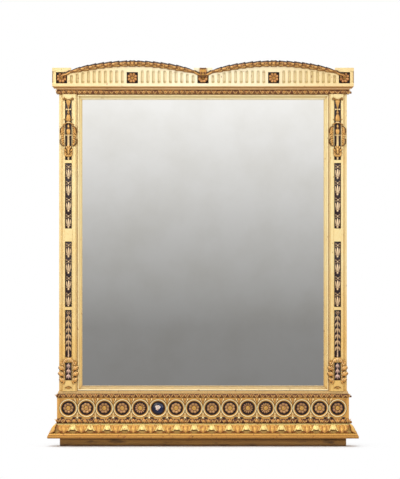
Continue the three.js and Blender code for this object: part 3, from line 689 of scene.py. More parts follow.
class Shader(Nodes):
    """Builds one procedural material on object coordinates."""

    def __init__(self, name: str) -> None:
        """Starts an empty material."""
        self.material = bpy.data.materials.new(name)
        self.material.use_nodes = True
        super().__init__(self.material.node_tree)
        self.surface = self.tree.nodes["Principled BSDF"]
        self.coords = self.node("TexCoord").outputs["Object"]

    def noise(self, scale: float, detail: float = 4.0, stretch: Point = (1, 1, 1)) -> Socket:
        """Returns cloudy noise of a scale in cycles a metre, stretched along the axes."""
        where = self.node("Mapping", {"Vector": self.coords, "Scale": tuple(stretch)}).outputs["Vector"]
        return self.node("TexNoise", {"Vector": where, "Scale": scale, "Detail": detail}).outputs["Fac"]

    def fade(self, value: Socket, low: float, high: float, start: float = 0.0, end: float = 1.0) -> Socket:
        """Returns value mapped from low..high to start..end and held there."""
        return self.node("MapRange", {"Value": value, "From Min": low, "From Max": high, "To Min": start,
                                      "To Max": end}).outputs["Result"]

    def mix(self, share: Socket, first: object, second: object) -> Socket:
        """Returns a colour between two, given as sockets or hex codes."""
        first, second = (tone(c) if isinstance(c, str) else c for c in (first, second))
        return self.node("Mix", {0: share, 6: first, 7: second}, data_type="RGBA").outputs[2]

    def hollows(self, reach: float) -> Socket:
        """Returns how open the surface is within reach metres, from 0 in a hollow to 1."""
        return self.node("AmbientOcclusion", {"Distance": reach}, samples=6).outputs["AO"]

    def bump(self, height: Socket, strength: float, distance: float) -> None:
        """Roughens the surface by a height, of which one is a distance in metres."""
        node = self.node("Bump", {"Height": height, "Strength": strength, "Distance": distance})
        self.feed(self.surface.inputs["Normal"], node.outputs["Normal"])

    def set(self, **values: object) -> None:
        """Sets inputs of the surface, with underscores for spaces."""
        for key, value in values.items():
            self.feed(self.surface.inputs[key.replace("_", " ")], value)


@dataclass(frozen=True)
class Gilding:
    """Leaf gold over red bole: bright on high places, brown in the hollows as patina and painted shade,
    rubbed here and there.

    It goes from bright in the upper half to warm in the lower one, a painted light from above, and to flank
    towards both sides if that is given. Accent and light are what a carving's own tints lead to.
    """

    name: str
    bright: str
    warm: str
    hollow: str
    accent: str = "b9803a"
    light: str = "fbecb8"
    bole: str = "8a4a26"
    metal: float = 0.4
    rough: float = 0.4
    rub: float = 0.66
    reach: float = 0.012
    timber_back: bool = False
    flank: str = ""

    def make(self) -> Material:
        """Returns the material."""
        shader = Shader(self.name)
        cloud = shader.noise(5.0, 5.0)
        place = shader.node("SeparateXYZ", {0: shader.coords}).outputs
        # Paler above and warmer below: painted light from above, with clouds of tone.
        warmth = shader.math("ADD", shader.fade(place["Z"], 0.2, 1.15, 0.85, 0.02),
                             shader.fade(cloud, 0.3, 0.7, -0.25, 0.3))
        gold = shader.mix(shader.fade(warmth, 0, 1), self.bright, self.warm)
        if self.flank:
            aside = shader.math("ABSOLUTE", place["X"])
            gold = shader.mix(shader.fade(aside, 0.12, 0.78, 0, 0.85), gold, self.flank)
        # A carving's own tints: tones of its parts, and painted light and shade.
        share = shader.node("Attribute", attribute_name="accent").outputs["Fac"]
        gold = shader.mix(shader.fade(share, 0, 1), gold, self.accent)
        gold = shader.mix(shader.fade(share, 0, -1), gold, self.light)
        rubbed = shader.fade(shader.noise(70.0, 7.0, (1, 1, 0.6)), self.rub, self.rub + 0.06, 0, 0.7)
        gold = shader.mix(rubbed, gold, self.bole)
        gold = shader.mix(shader.fade(shader.noise(150.0, 5.0), 0.35, 0.65, 0, 0.22), gold, self.warm)
        # Hollows take the hollow colour: patina and painted shade.
        gold = shader.mix(shader.fade(shader.hollows(self.reach), 0.3, 0.92), self.hollow, gold)
        metal: Socket | float = self.metal
        if self.timber_back:
            normal = shader.node("NewGeometry").outputs["Normal"]
            bare = shader.fade(shader.node("SeparateXYZ", {0: normal}).outputs["Y"], 0.6, 0.7)
            grain = shader.fade(shader.noise(9.0, 6.0, (14, 14, 1)), 0.35, 0.65)
            gold = shader.mix(bare, gold, shader.mix(grain, "6b4a2c", "9a7447"))
            metal = shader.fade(bare, 0, 1, self.metal, 0.0)
        shader.bump(shader.math("ADD", shader.noise(420.0, 3.0), cloud), 0.25, 0.0006)
        rough = shader.fade(shader.noise(38.0, 4.0), 0.3, 0.7, self.rough - 0.08, self.rough + 0.12)
        shader.set(Base_Color=gold, Metallic=metal, Roughness=rough)
        return shader.material


class Grain(Enum):
    """Direction of a board's grain, as the stretch of its pattern."""

    ACROSS = (1.0, 36.0, 36.0)
    UPRIGHT = (36.0, 36.0, 1.0)


@dataclass(frozen=True)
class Timber:
    """Old softwood with streaked grain, darkened by age."""

    name: str
    grain: Grain

    def make(self) -> Material:
        """Returns the material."""
        shader = Shader(self.name)
        streak = shader.noise(2.4, 7.0, self.grain.value)
        pore = shader.noise(20.0, 4.0, self.grain.value)
        wood = shader.mix(shader.fade(streak, 0.33, 0.66), "553a22", "a67c4c")
        wood = shader.mix(shader.fade(pore, 0.56, 0.72, 0, 0.5), wood, "33220f")
        wood = shader.mix(shader.fade(shader.noise(3.0, 3.0), 0.4, 0.7, 0, 0.45), wood, "4a3826")
        shader.set(Base_Color=wood, Roughness=0.78)
        shader.bump(streak, 0.4, 0.0012)
        return shader.material


@dataclass(frozen=True)
class RubbedPaint:
    """Brown painted wood, rubbed and scuffed so that its grain shows, with painted shade where other parts
    stand close.
    """

    name: str = "plinth_paint"
    paint: str = "a07230"
    worn: str = "ba893c"
    dirt_and_shade: str = "361e08"

    def make(self) -> Material:
        """Returns the material."""
        shader = Shader(self.name)
        streak = shader.noise(3.6, 6.0, Grain.ACROSS.value)
        base = shader.mix(shader.fade(streak, 0.35, 0.7), self.paint, self.worn)
        scuffs = shader.fade(shader.noise(26.0, 8.0, (0.5, 1, 2)), 0.56, 0.7, 0, 0.7)
        base = shader.mix(scuffs, base, self.dirt_and_shade)
        # Where other parts stand close, the paint takes the dark colour: painted shade.
        base = shader.mix(shader.fade(shader.hollows(0.03), 0.3, 0.95), self.dirt_and_shade, base)
        shader.set(Base_Color=base, Roughness=0.62)
        shader.bump(streak, 0.3, 0.0008)
        return shader.material


@dataclass(frozen=True)
class Clouded:
    """Finish of two tones in clouds, whose gloss may go with them.

    Cloud is the clouds' scale and detail and where they begin and end. Bump is the scale, detail, strength
    and distance of its roughness. Rest are other inputs of the surface.
    """

    name: str
    first: str
    second: str
    cloud: tuple[float, float, float, float]
    gloss: tuple[float, float] | float
    bump: tuple[float, float, float, float] | None = None
    rest: tuple[tuple[str, float], ...] = ()

    def make(self) -> Material:
        """Returns the material."""
        shader = Shader(self.name)
        scale, detail, low, high = self.cloud
        cloud = shader.fade(shader.noise(scale, detail), low, high)
        even = isinstance(self.gloss, float)
        rough = self.gloss if even else shader.fade(cloud, 0, 1, *self.gloss)
        shader.set(Base_Color=shader.mix(cloud, self.first, self.second), Roughness=rough, **dict(self.rest))
        if self.bump:
            scale, detail, strength, distance = self.bump
            shader.bump(shader.noise(scale, detail), strength, distance)
        return shader.material


class Palette:
    """All finishes of the mirror, each made once."""

    def __init__(self) -> None:
        """Makes the materials."""
        self.pale = Gilding("pale_gilding", "f9e6ac", "efbf68", "b07c36", accent="d39c50").make()
        self.sight = Gilding("sight_gilding", "f9e6ac", "efc06a", "b27e3a", accent="b09a70",
                             light="fff4cc").make()
        self.fluted = Gilding("fluted_gilding", "fdf1d0", "f4da9c", "8f6a28", accent="8a741f",
                              timber_back=True, flank="edca82").make()
        self.stile = Gilding("stile_gilding", "f8e3aa", "edba62", "d0a04e", timber_back=True).make()
        self.cove = Gilding("cove_gilding", "ecbe80", "daa462", "bb844a", accent="7a5422", light="ffe4b4",
                            flank="d08f44").make()
        self.frieze = Gilding("frieze_gilding", "edbe6a", "e0a654", "3f1f06", accent="7c460f",
                              light="fff4c2").make()
        self.leafage = Gilding("leafage_gilding", "f2c76c", "e6ae54", "40200a", accent="8a4a12",
                               light="fdec9c", rub=0.61, reach=0.02).make()
        self.hollow = Gilding("hollow_gilding", "a27c34", "946f2b", "5a3a12", accent="b98a42").make()
        self.carved = Gilding("carved_gilding", "ebb362", "dd9d4a", "3c1c05", accent="4a2a08", light="fbe3ac",
                              reach=0.014, rub=0.62).make()
        self.relief = Gilding("relief_gilding", "f2d6ac", "deb480", "3a1b08", accent="5a3416",
                              light="c8a5a0").make()
        self.rope = Gilding("worn_rope_gilding", "e6ab62", "d8964c", "3a1b0a", accent="5c2f0e",
                            light="fccf80", metal=0.3, rough=0.5, rub=0.6).make()
        self.groove = Gilding("rope_hollow", "6d3c18", "5c3012", "2a1206", accent="f4c882", metal=0.2).make()
        self.laurel = Gilding("laurel_gilding", "bd823e", "a56b28", "280f05", accent="2a1408", light="e8bd72",
                              metal=0.3, rub=0.6, reach=0.016).make()
        self.flower = Gilding("flower_gilding", "d3a76e", "c2905a", "2a1008", accent="4e2818", light="e2ac40",
                              bole="a8705c", rub=0.58).make()
        self.dusky = Gilding("dusky_flower_gilding", "c58a4e", "b2703a", "280f05", accent="46220f",
                             light="dfab4c", rub=0.6).make()
        self.dark = Clouded("dark_ground", "140706", "33110d", (60, 6, 0.35, 0.75), 0.5,
                            (300, 3, 0.3, 0.0005)).make()
        self.plate = Clouded("mirror_plate", "f6f5f2", "eceae4", (4, 5, 0.4, 0.8), (0.012, 0.03),
                             rest=(("Metallic", 1.0),)).make()
        self.steel = Clouded("aged_steel", "8f8c86", "5a3a25", (160, 6, 0.52, 0.64), (0.35, 0.7),
                             (500, 3, 0.3, 0.0003), (("Metallic", 0.85),)).make()
        self.blue = Clouded("blue_glass", "04061a", "0e1a48", (55, 5, 0.35, 0.7), 0.18,
                            rest=(("Coat_Weight", 0.6), ("Coat_Roughness", 0.05))).make()
        self.gesso = Clouded("old_gesso", "e9dfd2", "b98a72", (140, 6, 0.45, 0.62), 0.85,
                             (350, 5, 0.6, 0.0008)).make()
        self.upright = Timber("pine_upright", Grain.UPRIGHT).make()
        self.across = Timber("pine_across", Grain.ACROSS).make()
        self.paint = RubbedPaint().make()


def dress(node: str, material: Material) -> None:
    """Gives a construction node that stays in view its finish."""
    shown = frame["nodes"][node]
    shown.data.materials.clear()
    shown.data.materials.append(material)
    log.info("%s: dressed", node)


# ---- Sub-assemblies ----------------------------------------------------------------------------------

@dataclass
class Carcass:
    """Timber that carries everything: stiles, rails, backboards, battens and the plinth."""

    plinth_ease: float = 1.6

    def build(self, palette: Palette) -> None:
        """Dresses the timbers and the glass, and makes the plinth."""
        for material, nodes in (
                (palette.stile, "stile_left stile_right"), (palette.plate, "mirror_glass"),
                (palette.upright, "backboard_left backboard_middle backboard_right"),
                (palette.across, "bottom_rail top_rail batten_bottom batten_middle batten_top")):
            for node in nodes.split():
                dress(node, material)
        carver = Carver()
        carver.box(Span.of("plinth"), self.plinth_ease)
        carver.piece("plinth_board", palette.paint, "plinth", Slot.PAINT)


@dataclass
class SightMouldings:
    """Four mitred lengths round the glass.

    Shades are the accents of each one's quirk, bead, slope and lip: painted light and shade, which differ
    from one length to another. The section's points are shares of the moulding's width, inward from its outer
    edge, and of its depth.
    """

    shades: dict[str, tuple[float, float, float, float]] = field(default_factory=lambda: {
        "sight_left": (0.3, -0.4, -0.1, 0.2), "sight_right": (0.3, -0.4, -0.1, 0.2),
        "sight_bottom": (0.2, -1.0, 0.9, 1.2), "sight_top": (-0.2, -0.5, 0.35, -1.3)})
    section: tuple[Point, ...] = (
        (0.0, 0.0), (1.0, 0.0), (1.0, 0.36), (0.95, 0.42), (0.88, 0.42), (0.84, 0.5), (0.74, 0.53),
        (0.62, 0.6), (0.5, 0.72), (0.42, 0.86), (0.4, 0.93), (0.34, 0.985), (0.26, 1.0), (0.18, 0.985),
        (0.12, 0.94), (0.1, 0.9), (0.0, 0.9))

    def build(self, palette: Palette) -> None:
        """Makes each length from the extent of its node."""
        for name, (quirk, bead, slope, lip) in self.shades.items():
            span = Span.of(name)
            upright = name in ("sight_left", "sight_right")
            sign = 1 if name in ("sight_left", "sight_bottom") else -1
            across, along = (span.x0, span.x1), (span.z0, span.z1)
            if not upright:
                across, along = along, across
            width, rings = across[1] - across[0], []
            for end, turn in zip(along, (1, -1)):
                ring = [(across[::sign][0] + sign * inward * width, span.out0 + rise * span.depth,
                         end + turn * inward * width) for inward, rise in self.section]
                rings.append(ring if upright else [point[::-1] for point in ring])
            # Each face takes its length's painted light or shade.
            tint = [lip if inward > 0.7 else slope if inward > 0.37 else quirk if rise < 0.92 else bead
                    for inward, rise in self.section]
            carver = Carver()
            carver.loops(np.array(rings), tint=np.array(tint))
            carver.piece(f"{name}_moulding", palette.sight, name, Slot.PALE, smooth=28)


@dataclass
class RopeMoulding:
    """Half-round moulding carved as a twist: bright ribs that zigzag, with small leaves between them.

    Web is the accent of those leaves. A sill is the plain strip on top, where there is one.
    """

    node: str
    name: str
    pitch: float = 26.8
    foot: float = 8.0
    carve: float = 3.6
    web: float = 0.2
    sill: float = 0.0
    past_corner: float = 6.0
    off_wall: float = 8.0
    vary: float = 0.14
    seed: int = 1

    def build(self, palette: Palette, row: Repeater) -> None:
        """Makes the core and lays the twist along its three runs."""
        span = Span.of(self.node)
        self.height = span.z1 - span.z0 - self.sill
        self.bulge = span.x1 - STILE.x1 - self.carve - self.foot
        core = Carver()
        round_face = [(self.foot + self.bulge * math.sin(a), self.height * (1 - math.cos(a)) / 2)
                      for a in np.linspace(0, math.pi, 9)]
        core.wrap([(None, 0.0), *round_face, (None, self.height)], span.z0)
        sill = self.sill
        if sill:
            core.accent = 0.9
            core.wrap([(None, 0.0), (7.0, 0.0), (7.4, 0.8), (7.4, sill - 8.6), (5.2, sill - 7.6, 0.4),
                       (5.0, sill - 6.6), (5.0, sill - 1), (4.0, sill), (None, sill)], span.z0 + self.height)
        # The core takes the dark rope_hollow gilding, which shows between the blades as painted shade.
        core.piece(f"{self.name}_core", palette.groove, self.node, Slot.DARK)
        strand, half = self._strand(), STILE.x1
        front, back = DATUM + self.past_corner, STILE.out0 + self.off_wall
        meshes = []
        for x0, out0, x1, out1, turn in (
                (-half - self.past_corner, DATUM, half + self.past_corner, DATUM, 0.0),
                (half, front, half, back, 0.5), (-half, back, -half, front, -0.5)):
            count = 1 + round(math.hypot(x1 - x0, out1 - out0) / self.pitch)
            meshes.append(row.lay(strand, palette.rope, Count=count, Start=spot(x0, out0, span.z0),
                                  End=spot(x1, out1, span.z0), Turn=(0.0, 0.0, turn * math.pi),
                                  Vary=self.vary, Seed=self.seed))
        finish_piece(self.name, together(self.name, meshes), palette.rope, self.node, smooth=50)

    def _strand(self) -> Carver:
        """Returns one bay of the twist: two ribs that meet at its foot, a leaf in it and one beside it."""
        carver = Carver(wall=0)
        half = self.pitch / 2
        u = np.linspace(0, 1, 5)[:, None]
        v = np.array((-1, 0, 1.0))[None, :]
        for x0, t0, x1, t1, wide, lift, shade in (
                (-half, 0.86, -0.6, 0.14, 2.3, 3.6, -1.0), (half, 0.86, 0.6, 0.14, 2.3, 3.6, -0.8),
                (0, 0.95, 0, 0.42, 6.4, 2.2, self.web), (half, 0.04, half, 0.55, 6.0, 1.6, self.web + 0.5)):
            angle = math.pi * (t0 + (t1 - t0) * u)
            x = x0 + (x1 - x0) * u + v * wide * (0.45 + 0.55 * np.sin(math.pi * (0.15 + 0.75 * u)))
            rise = np.minimum(self.carve, lift) * (1 - 0.5 * v ** 2) + 0 * u
            front, back = (np.stack(np.broadcast_arrays(
                x, self.foot + (self.bulge + by) * np.sin(angle),
                self.height * (1 - np.cos(angle)) / 2 - by * np.cos(angle) * 0.5), -1)
                for by in (rise, 0 * rise - 1.2))
            # Ribs are light, blades darken towards their sides and the low leaf is darker than the high one:
            # painted light and shade.
            carver.between(front, back, shade + 0.3 * v ** 2 + 0 * u)
        return carver


@dataclass
class LeafBase:
    """Base moulding: a lip, a fillet, a cyma covered with acanthus leaves, tips down, and a bead over them.

    The blades are (place along the cyma, x, half width) points, from root to tip. The fillet's points are
    inward from the moulding's reach and up from the lip, the bead's outward from the neck and up, and each
    has its accent.
    """

    pitch: float = 86.8
    leaves: int = 17
    lip: float = 14.0
    neck: float = 14.0
    relief: float = 5.0
    lip_shades: tuple[float, ...] = (1.0, 0.9, 0.75, 0.65, 0.55, 0.55, 0.6, 0.5, 0.6)
    fillet: tuple[Point, ...] = ((5, 0.5, 0.6), (5, 1.2, 0.5), (5, 3, 0.5), (6.5, 6.5, 0.4), (7, 8.5, 0.1),
                                 (8, 10.2, 0.0), (10.5, 11, 0.3))
    bead: tuple[Point, ...] = ((3.5, 0, -0.6), (5, 1.5, -1), (5, 5.5, -1), (4, 6.5, -0.4))
    body: tuple[Point, ...] = ((0.99, 0, 34), (0.8, 0, 40), (0.6, 0, 38), (0.44, 0, 33), (0.24, 0, 24),
                               (0.1, 0, 33), (0.02, 0, 43))
    tongue: tuple[Point, ...] = ((0.97, 0, 4), (0.6, 0, 7), (0.3, 0, 9), (0.1, 0, 7), (0.0, 0, 2))
    wing: tuple[Point, ...] = ((0.9, 17, 5), (0.6, 20, 9), (0.4, 19, 9), (0.2, 14, 6), (0.06, 13, 3))
    horn: tuple[Point, ...] = ((0.985, 4, 5), (0.84, 6, 7), (0.66, 8, 9), (0.5, 12, 8), (0.34, 18, 6),
                               (0.2, 23, 3.5))
    bud: tuple[Point, ...] = ((0.93, 0, 5), (0.76, 0, 8), (0.6, 0, 12), (0.46, 0, 15), (0.36, 0, 9))

    def build(self, palette: Palette, row: Repeater) -> None:
        """Makes the moulding and lays the leaves on its front, sides and corners."""
        span = Span.of("base_moulding")
        self.reach = span.x1 - STILE.x1
        self.height = span.z1 - span.z0
        self.cyma = np.array([self._cyma(t) for t in np.linspace(0, 1, 12)])
        # The lip darkens towards its foot, and the fillet and bead take their own tints: painted light and
        # shade.
        lip = [(self.reach - 1 - 3 * (1 - math.sin(a)), self.lip / 2 - self.lip / 2 * math.cos(a), shade)
               for a, shade in zip(np.linspace(0, math.pi, len(self.lip_shades)), self.lip_shades)]
        fillet = [(self.reach - inward, self.lip + up, shade) for inward, up, shade in self.fillet]
        bead = [(self.neck + outward, up, shade) for outward, up, shade in self.bead]
        core = Carver(accent=0.4)
        core.wrap([(None, 0.0), (self.reach - 6, 0.0, 1), *lip, *fillet, (None, fillet[-1][1])], span.z0)
        core.wrap([(None, 0.0), *bead, (None, bead[-1][1])], span.z1 - bead[-1][1] - 1)
        # The cyma's ground shows between the leaves in a darker gold: painted shade.
        ground = Carver()
        ground.wrap([(None, self.lip + 8), *self.cyma.tolist(), (None, self.height)], span.z0)
        ground.piece("leaf_ground", palette.hollow, "base_moulding", Slot.GILT)
        self._chip(palette, span.z0 + 9)
        half = self.pitch * (self.leaves - 1) / 2
        meshes = [core.mesh("core")]
        for sample, count, end in ((self._leaf(), self.leaves, half),
                                   (self._lily(), self.leaves - 1, half - self.pitch / 2)):
            meshes.append(row.lay(sample, palette.leafage, Count=count, Start=spot(-end, DATUM, span.z0),
                                  End=spot(end, DATUM, span.z0), Vary=0.012, Seed=count))
        for side in SIDES:
            for sample, out, turn in ((self._leaf(0.55), (STILE.out0 + DATUM) / 2, 0.5),
                                      (self._corner(), DATUM, 0.25)):
                at = spot(side * STILE.x1, out, span.z0)
                meshes.append(row.lay(sample, palette.leafage, Count=1, Start=at, End=at,
                                      Turn=(0.0, 0.0, side * turn * math.pi)))
        finish_piece("leaf_base", together("leaf_base", meshes), palette.leafage, "base_moulding",
                     smooth=45)

    def _chip(self, palette: Palette, z: float) -> None:
        """Makes the dark chip in the lip, left of the middle."""
        angle = circle(14)
        size = 3.2 + 1.3 * np.sin(2 * angle + 1) + 0.7 * np.sin(5 * angle)
        face = DATUM + self.reach
        carver = Carver()
        carver.loops(np.array([hoop(-52, z, share * size, face - sunk, angle)
                               for sunk, share in ((5, 1.0), (0.9, 1.0), (0.7, 0.8))]))
        carver.piece("lip_chip", palette.groove, "base_moulding", Slot.GILT)

    def _cyma(self, t: float) -> tuple[float, float]:
        """Returns reach and height along the cyma, from its foot at 0 to its neck at 1."""
        foot_reach, foot_height = self.reach - 14, self.lip + 9
        sway = 0.1 * math.sin(2 * math.pi * t)
        return (foot_reach + (self.neck - 2 - foot_reach) * (t + sway),
                foot_height + (self.height - foot_height) * t)

    def _blade(self, carver: Carver, line: Sequence[Point], lift: float, veins: float = 0.5, side: int = 1,
               scale: float = 1.0, stretch: float = 1.0) -> None:
        """Adds one blade that lies on the cyma.

        Args:
            carver: takes the blade.
            line: (place along the cyma, x, half width) points from root to tip.
            lift: how far it stands off.
            veins: depth of its veins.
            side: 1, or -1 for the mirrored blade.
            scale: factor on its widths.
            stretch: factor on the reach, for a blade on a mitre.
        """
        u = np.linspace(0, 1, 20)[:, None]
        v = np.linspace(-1, 1, 13)[None, :]
        t, centre, half = (column[:, None] for column in smooth_path(line, 20).T)
        half = half * scale * (1 - 0.12 * np.abs(np.cos(4.5 * math.pi * u)) ** 3)
        vein = np.cos(math.pi * (6 * np.abs(v) - 2.5 * u))
        rise = lift * (0.4 + 0.6 * np.sin(math.pi * u * 0.85)) * (1 - 0.62 * v ** 2) + 3 * u ** 5
        rise = rise + veins * vein * np.sin(math.pi * u)
        rise = np.clip(rise + 1.1 * np.exp(-(v / 0.12) ** 2), 0.3, self.relief + 1.2)
        x = side * centre * scale + v * half
        t = np.clip(np.broadcast_to(t, rise.shape), 0, 1)
        grid = np.linspace(0, 1, len(self.cyma))
        slope = np.gradient(self.cyma, axis=0)
        normal = unit(np.column_stack((slope[:, 1], -slope[:, 0])))
        reach, height = (np.interp(t, grid, self.cyma[:, k]) for k in (0, 1))
        away, up = (np.interp(t, grid, normal[:, k]) for k in (0, 1))
        front, back = (np.stack((x, stretch * (reach + away * by), height + up * by), -1)
                       for by in (rise, 0 * rise - 1.0))
        # Veins, rims and bands across the blade darken: painted shade in the carving.
        tint = veins * (0.25 - 0.42 * vein) + carver.edge * np.abs(v) ** 4
        for depth, place, spread, stripes in (
                (0.9, 0.02, 0.24, 1), (1.3, 0.12, 0.15, np.cos(9 * math.pi * v) ** 2),
                (0.8, 0.66, 0.09, np.sin(4.5 * math.pi * v) ** 2)):
            tint = tint + depth * veins * np.exp(-((t - place) / spread) ** 2) * stripes
        carver.between(front, back, carver.accent + tint)

    def _leaf(self, scale: float = 1.0) -> Carver:
        """Returns one broad leaf with a tongue and two wings."""
        carver = Carver(wall=0, accent=0.15, edge=0.8)
        self._blade(carver, self.body, self.relief - 2.4, 0.8, scale=scale)
        carver.accent, carver.edge = -0.1, 0.9
        self._blade(carver, self.tongue, self.relief, 0.3, scale=scale)
        for side in SIDES:
            self._blade(carver, self.wing, self.relief - 0.8, 0.6, side, scale)
        return carver

    def _lily(self) -> Carver:
        """Returns the bright leaf between two broad ones, split round a dark hollow."""
        carver = Carver(wall=0, accent=-0.85, edge=1.6)
        for side in SIDES:
            self._blade(carver, self.horn, self.relief, 0.3, side)
        self._blade(carver, self.bud, self.relief + 1, 0.2)
        return carver

    def _corner(self) -> Carver:
        """Returns the narrow leaf that covers a mitre."""
        carver = Carver(wall=0, accent=-0.3, edge=1.0)
        self._blade(carver, self.tongue, self.relief * 0.7, 0.4, scale=1.8, stretch=math.sqrt(2) * 0.985)
        return carver


@dataclass
class RoundelFrieze:
    """Board with a row of ringed roundels, a rosette in each.

    The band's points are outward from a roundel's recess and from the board's face, each with its accent. The
    sprigs are x and z of root and tip, width and accent, measured up from the board's foot or down from its
    top, and face is how far the board stands out from the datum.
    """

    count: int = 16
    pitch: float = 89.75
    ring: float = 44.3
    recess: float = 34.8
    face: float = 10.0
    depth: float = 8.0
    rosette: float = 27.0
    daisies: tuple[int, ...] = (5, 11, 12)
    lost: int = 6
    glass: float = 27.0
    band: tuple[Point, ...] = (
        (0.0, -1.5, 1), (0.4, 0.5, 0.8), (1.4, 0.6, 0.4), (3.0, 0.9, 0.25), (4.4, 1.6, 0.1), (5.4, 2.6, -0.4),
        (5.9, 3.5, -1), (7.2, 3.95, -1), (8.6, 3.7, -1), (9.2, 2.4, -0.6), (9.7, 1.0, 0.9), (9.8, -1.5, 1))

    def build(self, palette: Palette, row: Repeater) -> None:
        """Makes the board, its grounds and the rosettes."""
        span = Span.of("frieze_board")
        self.front = DATUM + self.face
        self.half_height = (span.z1 - span.z0) / 2
        middle = (span.z0 + span.z1) / 2
        first, last, bay = self.x_of(1), self.x_of(self.count), self.pitch / 2
        run = {"Count": self.count, "Start": spot(first, 0, middle), "End": spot(last, 0, middle)}
        tiles = row.lay(self._tile(), palette.frieze, **run)
        sprigs = row.lay(self._sprigs(), palette.frieze, Count=self.count - 1,
                         Start=spot(first + bay, 0, middle), End=spot(last - bay, 0, middle))
        ends = Carver()
        for side in SIDES:
            for inner, outer, back, ease in ((STILE.x1 + FIT, span.x1, STILE.out0, 0.6),
                                             (last + bay, STILE.x1 + FIT, STILE.out1 + FIT, 0.05)):
                left, right = sorted((side * inner, side * outer))
                ends.box(Span(left, right, back, self.front, span.z0, span.z1), ease)
        board = together("frieze", [tiles, sprigs, ends.mesh("ends")])
        finish_piece("roundel_board", board, palette.frieze, "frieze_board", smooth=35)
        grounds = row.lay(self._ground(), palette.dark, **run)
        finish_piece("roundel_grounds", grounds, palette.dark, "frieze_board")
        for number in range(1, self.count + 1):
            if number == self.lost:
                self._lost_roundel(palette, middle)
            else:
                self._rosette(palette, number, middle)

    def x_of(self, number: int) -> float:
        """Returns the centre of a roundel, numbered from the left."""
        return (number - (self.count + 1) / 2) * self.pitch

    def _tile(self) -> Carver:
        """Returns one roundel with the board round it, centred on its own axis."""
        sides = 96
        angle = circle(sides) + math.pi / sides
        cos, sin = np.cos(angle), np.sin(angle)
        border = np.minimum(self.pitch / 2 / np.abs(cos), self.half_height / np.abs(sin))
        floor = self.front - self.depth - 0.9
        rings: list[tuple[Values, float]] = [(1.0, floor), (self.recess - 0.5, floor),
                                             (self.recess, floor + 1), (self.recess, self.front - 0.5)]
        dish = len(rings)
        for t in (0.02, 0.15, 0.35, 0.6, 0.85, 1.0):
            swell = 0.9 * math.sin(math.pi * t) ** 0.5
            rings.append((self.ring + t * (border - self.ring), self.front - swell))
        rings.append((border, STILE.out1 + FIT))
        corner = (0.15 + 0.35 * (sin > 0.3)) * (np.abs(cos * sin) * 2) ** 3
        tint = np.array([0 * corner] * dish + [corner] * (len(rings) - dish))
        # The board darkens where it meets the band: painted shade.
        tint[dish] += 0.5
        carver = Carver(wall=0)
        carver.loops(np.array([hoop(0, 0, r, out, angle) for r, out in rings]), tint=tint)
        # The band darkens at its inner and outer foot and is lightest along its ridge: painted light and
        # shade.
        carver.facing([(self.recess + dr, self.front + rise, shade) for dr, rise, shade in self.band], 0, 0,
                      sides, looped=True)
        return carver

    def _ground(self) -> Carver:
        """Returns the dark dish at the bottom of one roundel and the dark leaves under its foot."""
        floor = self.front - self.depth
        rim, edge = self.front - 0.9, self.recess - 0.3
        carver = Carver(wall=0)
        carver.facing(((1, floor - 0.6), (edge, floor - 0.6), (edge, rim), (edge - 0.6, rim),
                       (edge - 0.9, floor), (1, floor)), 0, 0, 64)
        for side in SIDES:
            x, z, out = side * (self.pitch / 2 - 15.5), 2.6 - self.half_height, self.front + 0.4
            carver.leaf((x - 9.5, out, z + 1 - side), (x + 9.5, out, z + 1 + side), 7.5, lift=1.0,
                        thickness=2)
        return carver

    def _sprigs(self) -> Carver:
        """Returns the small sprigs above and below the point where two roundels meet."""
        out = self.front - 0.3
        top = self.half_height - 1.5
        carver = Carver(wall=0, edge=0.9)
        rows = [(0, top, 0, 18, 17, 0.3)] + [(side * 15, top - 1, side * 5, 27, 7, -0.7) for side in SIDES]
        rows.append((0, 2 - top, 0, -18, 15, -0.5))
        rows += [(side * 3, 9 - top, side * 14, 13 - top, 8, -0.4) for side in SIDES]
        rows += [(side * 6, 15 - top, side * 8, 27 - top, 7, 0.1) for side in SIDES]
        carver.leaves(rows, Seat(), out, out, lift=1.5, lobes=2, thickness=1.8, steps=(9, 5))
        carver.accent = -1.0
        carver.facing(((0.4, out - 1), (4.2, out - 0.5, 0.6), (3.9, out + 2), (0.4, out + 3.6)), 0,
                      4.4 - self.half_height, 14)
        return carver

    def _rosette(self, palette: Palette, number: int, z: float) -> None:
        """Makes the rosette of one roundel: eight broad petals, or a daisy."""
        node = f"roundel_{number:02d}_rosette"
        span = Span.of(node)
        petals, split = (13, 0.5) if number in self.daisies else (8, 0.28)
        carver = Carver(accent=0.12 + 0.2 * math.sin(2.4 * number))
        carver.flower(self.x_of(number), z, span.out0, self.rosette, span.depth, petals, turn=0.13 * number,
                      eye=0.4, split=split)
        carver.piece(f"rosette_{number:02d}", palette.flower, node, Slot.GILT, smooth=55)

    def _lost_roundel(self, palette: Palette, z: float) -> None:
        """Makes the roundel that shows its blue glass and a patch of gesso where the rosette was."""
        node = "roundel_06_glass"
        span = Span.of(node)
        x = self.x_of(self.lost)
        carver = Carver()
        carver.facing([(0.5, span.out0), (self.glass - 0.4, span.out0), (self.glass, span.out0 + 0.8)]
                      + [(self.glass * math.cos(a), span.out0 + 1 + (span.depth - 1.6) * math.sin(a) ** 0.8)
                         for a in np.linspace(0.05, 1.55, 12)], x, z, 56)
        carver.piece("blue_glass_disc", palette.blue, node, Slot.GLASS)
        angle = circle(28)
        edge = 12.5 + 1.8 * np.sin(3 * angle + 0.7) + 1.1 * np.sin(7 * angle) + 0.6 * np.sin(13 * angle + 2)
        rings = [hoop(x - 2, z + 3, share * edge, span.out1 - 0.6 + lift, angle) for share, lift in (
            (1.0, -1.6), (1.0, -0.3), (0.82, 0.25), (0.5, 0.1), (0.3, 0.45), (0.05, 0.2))]
        patch = Carver()
        patch.loops(np.array(rings))
        patch.piece("gesso_patch", palette.gesso, node, Slot.GLASS, smooth=20)


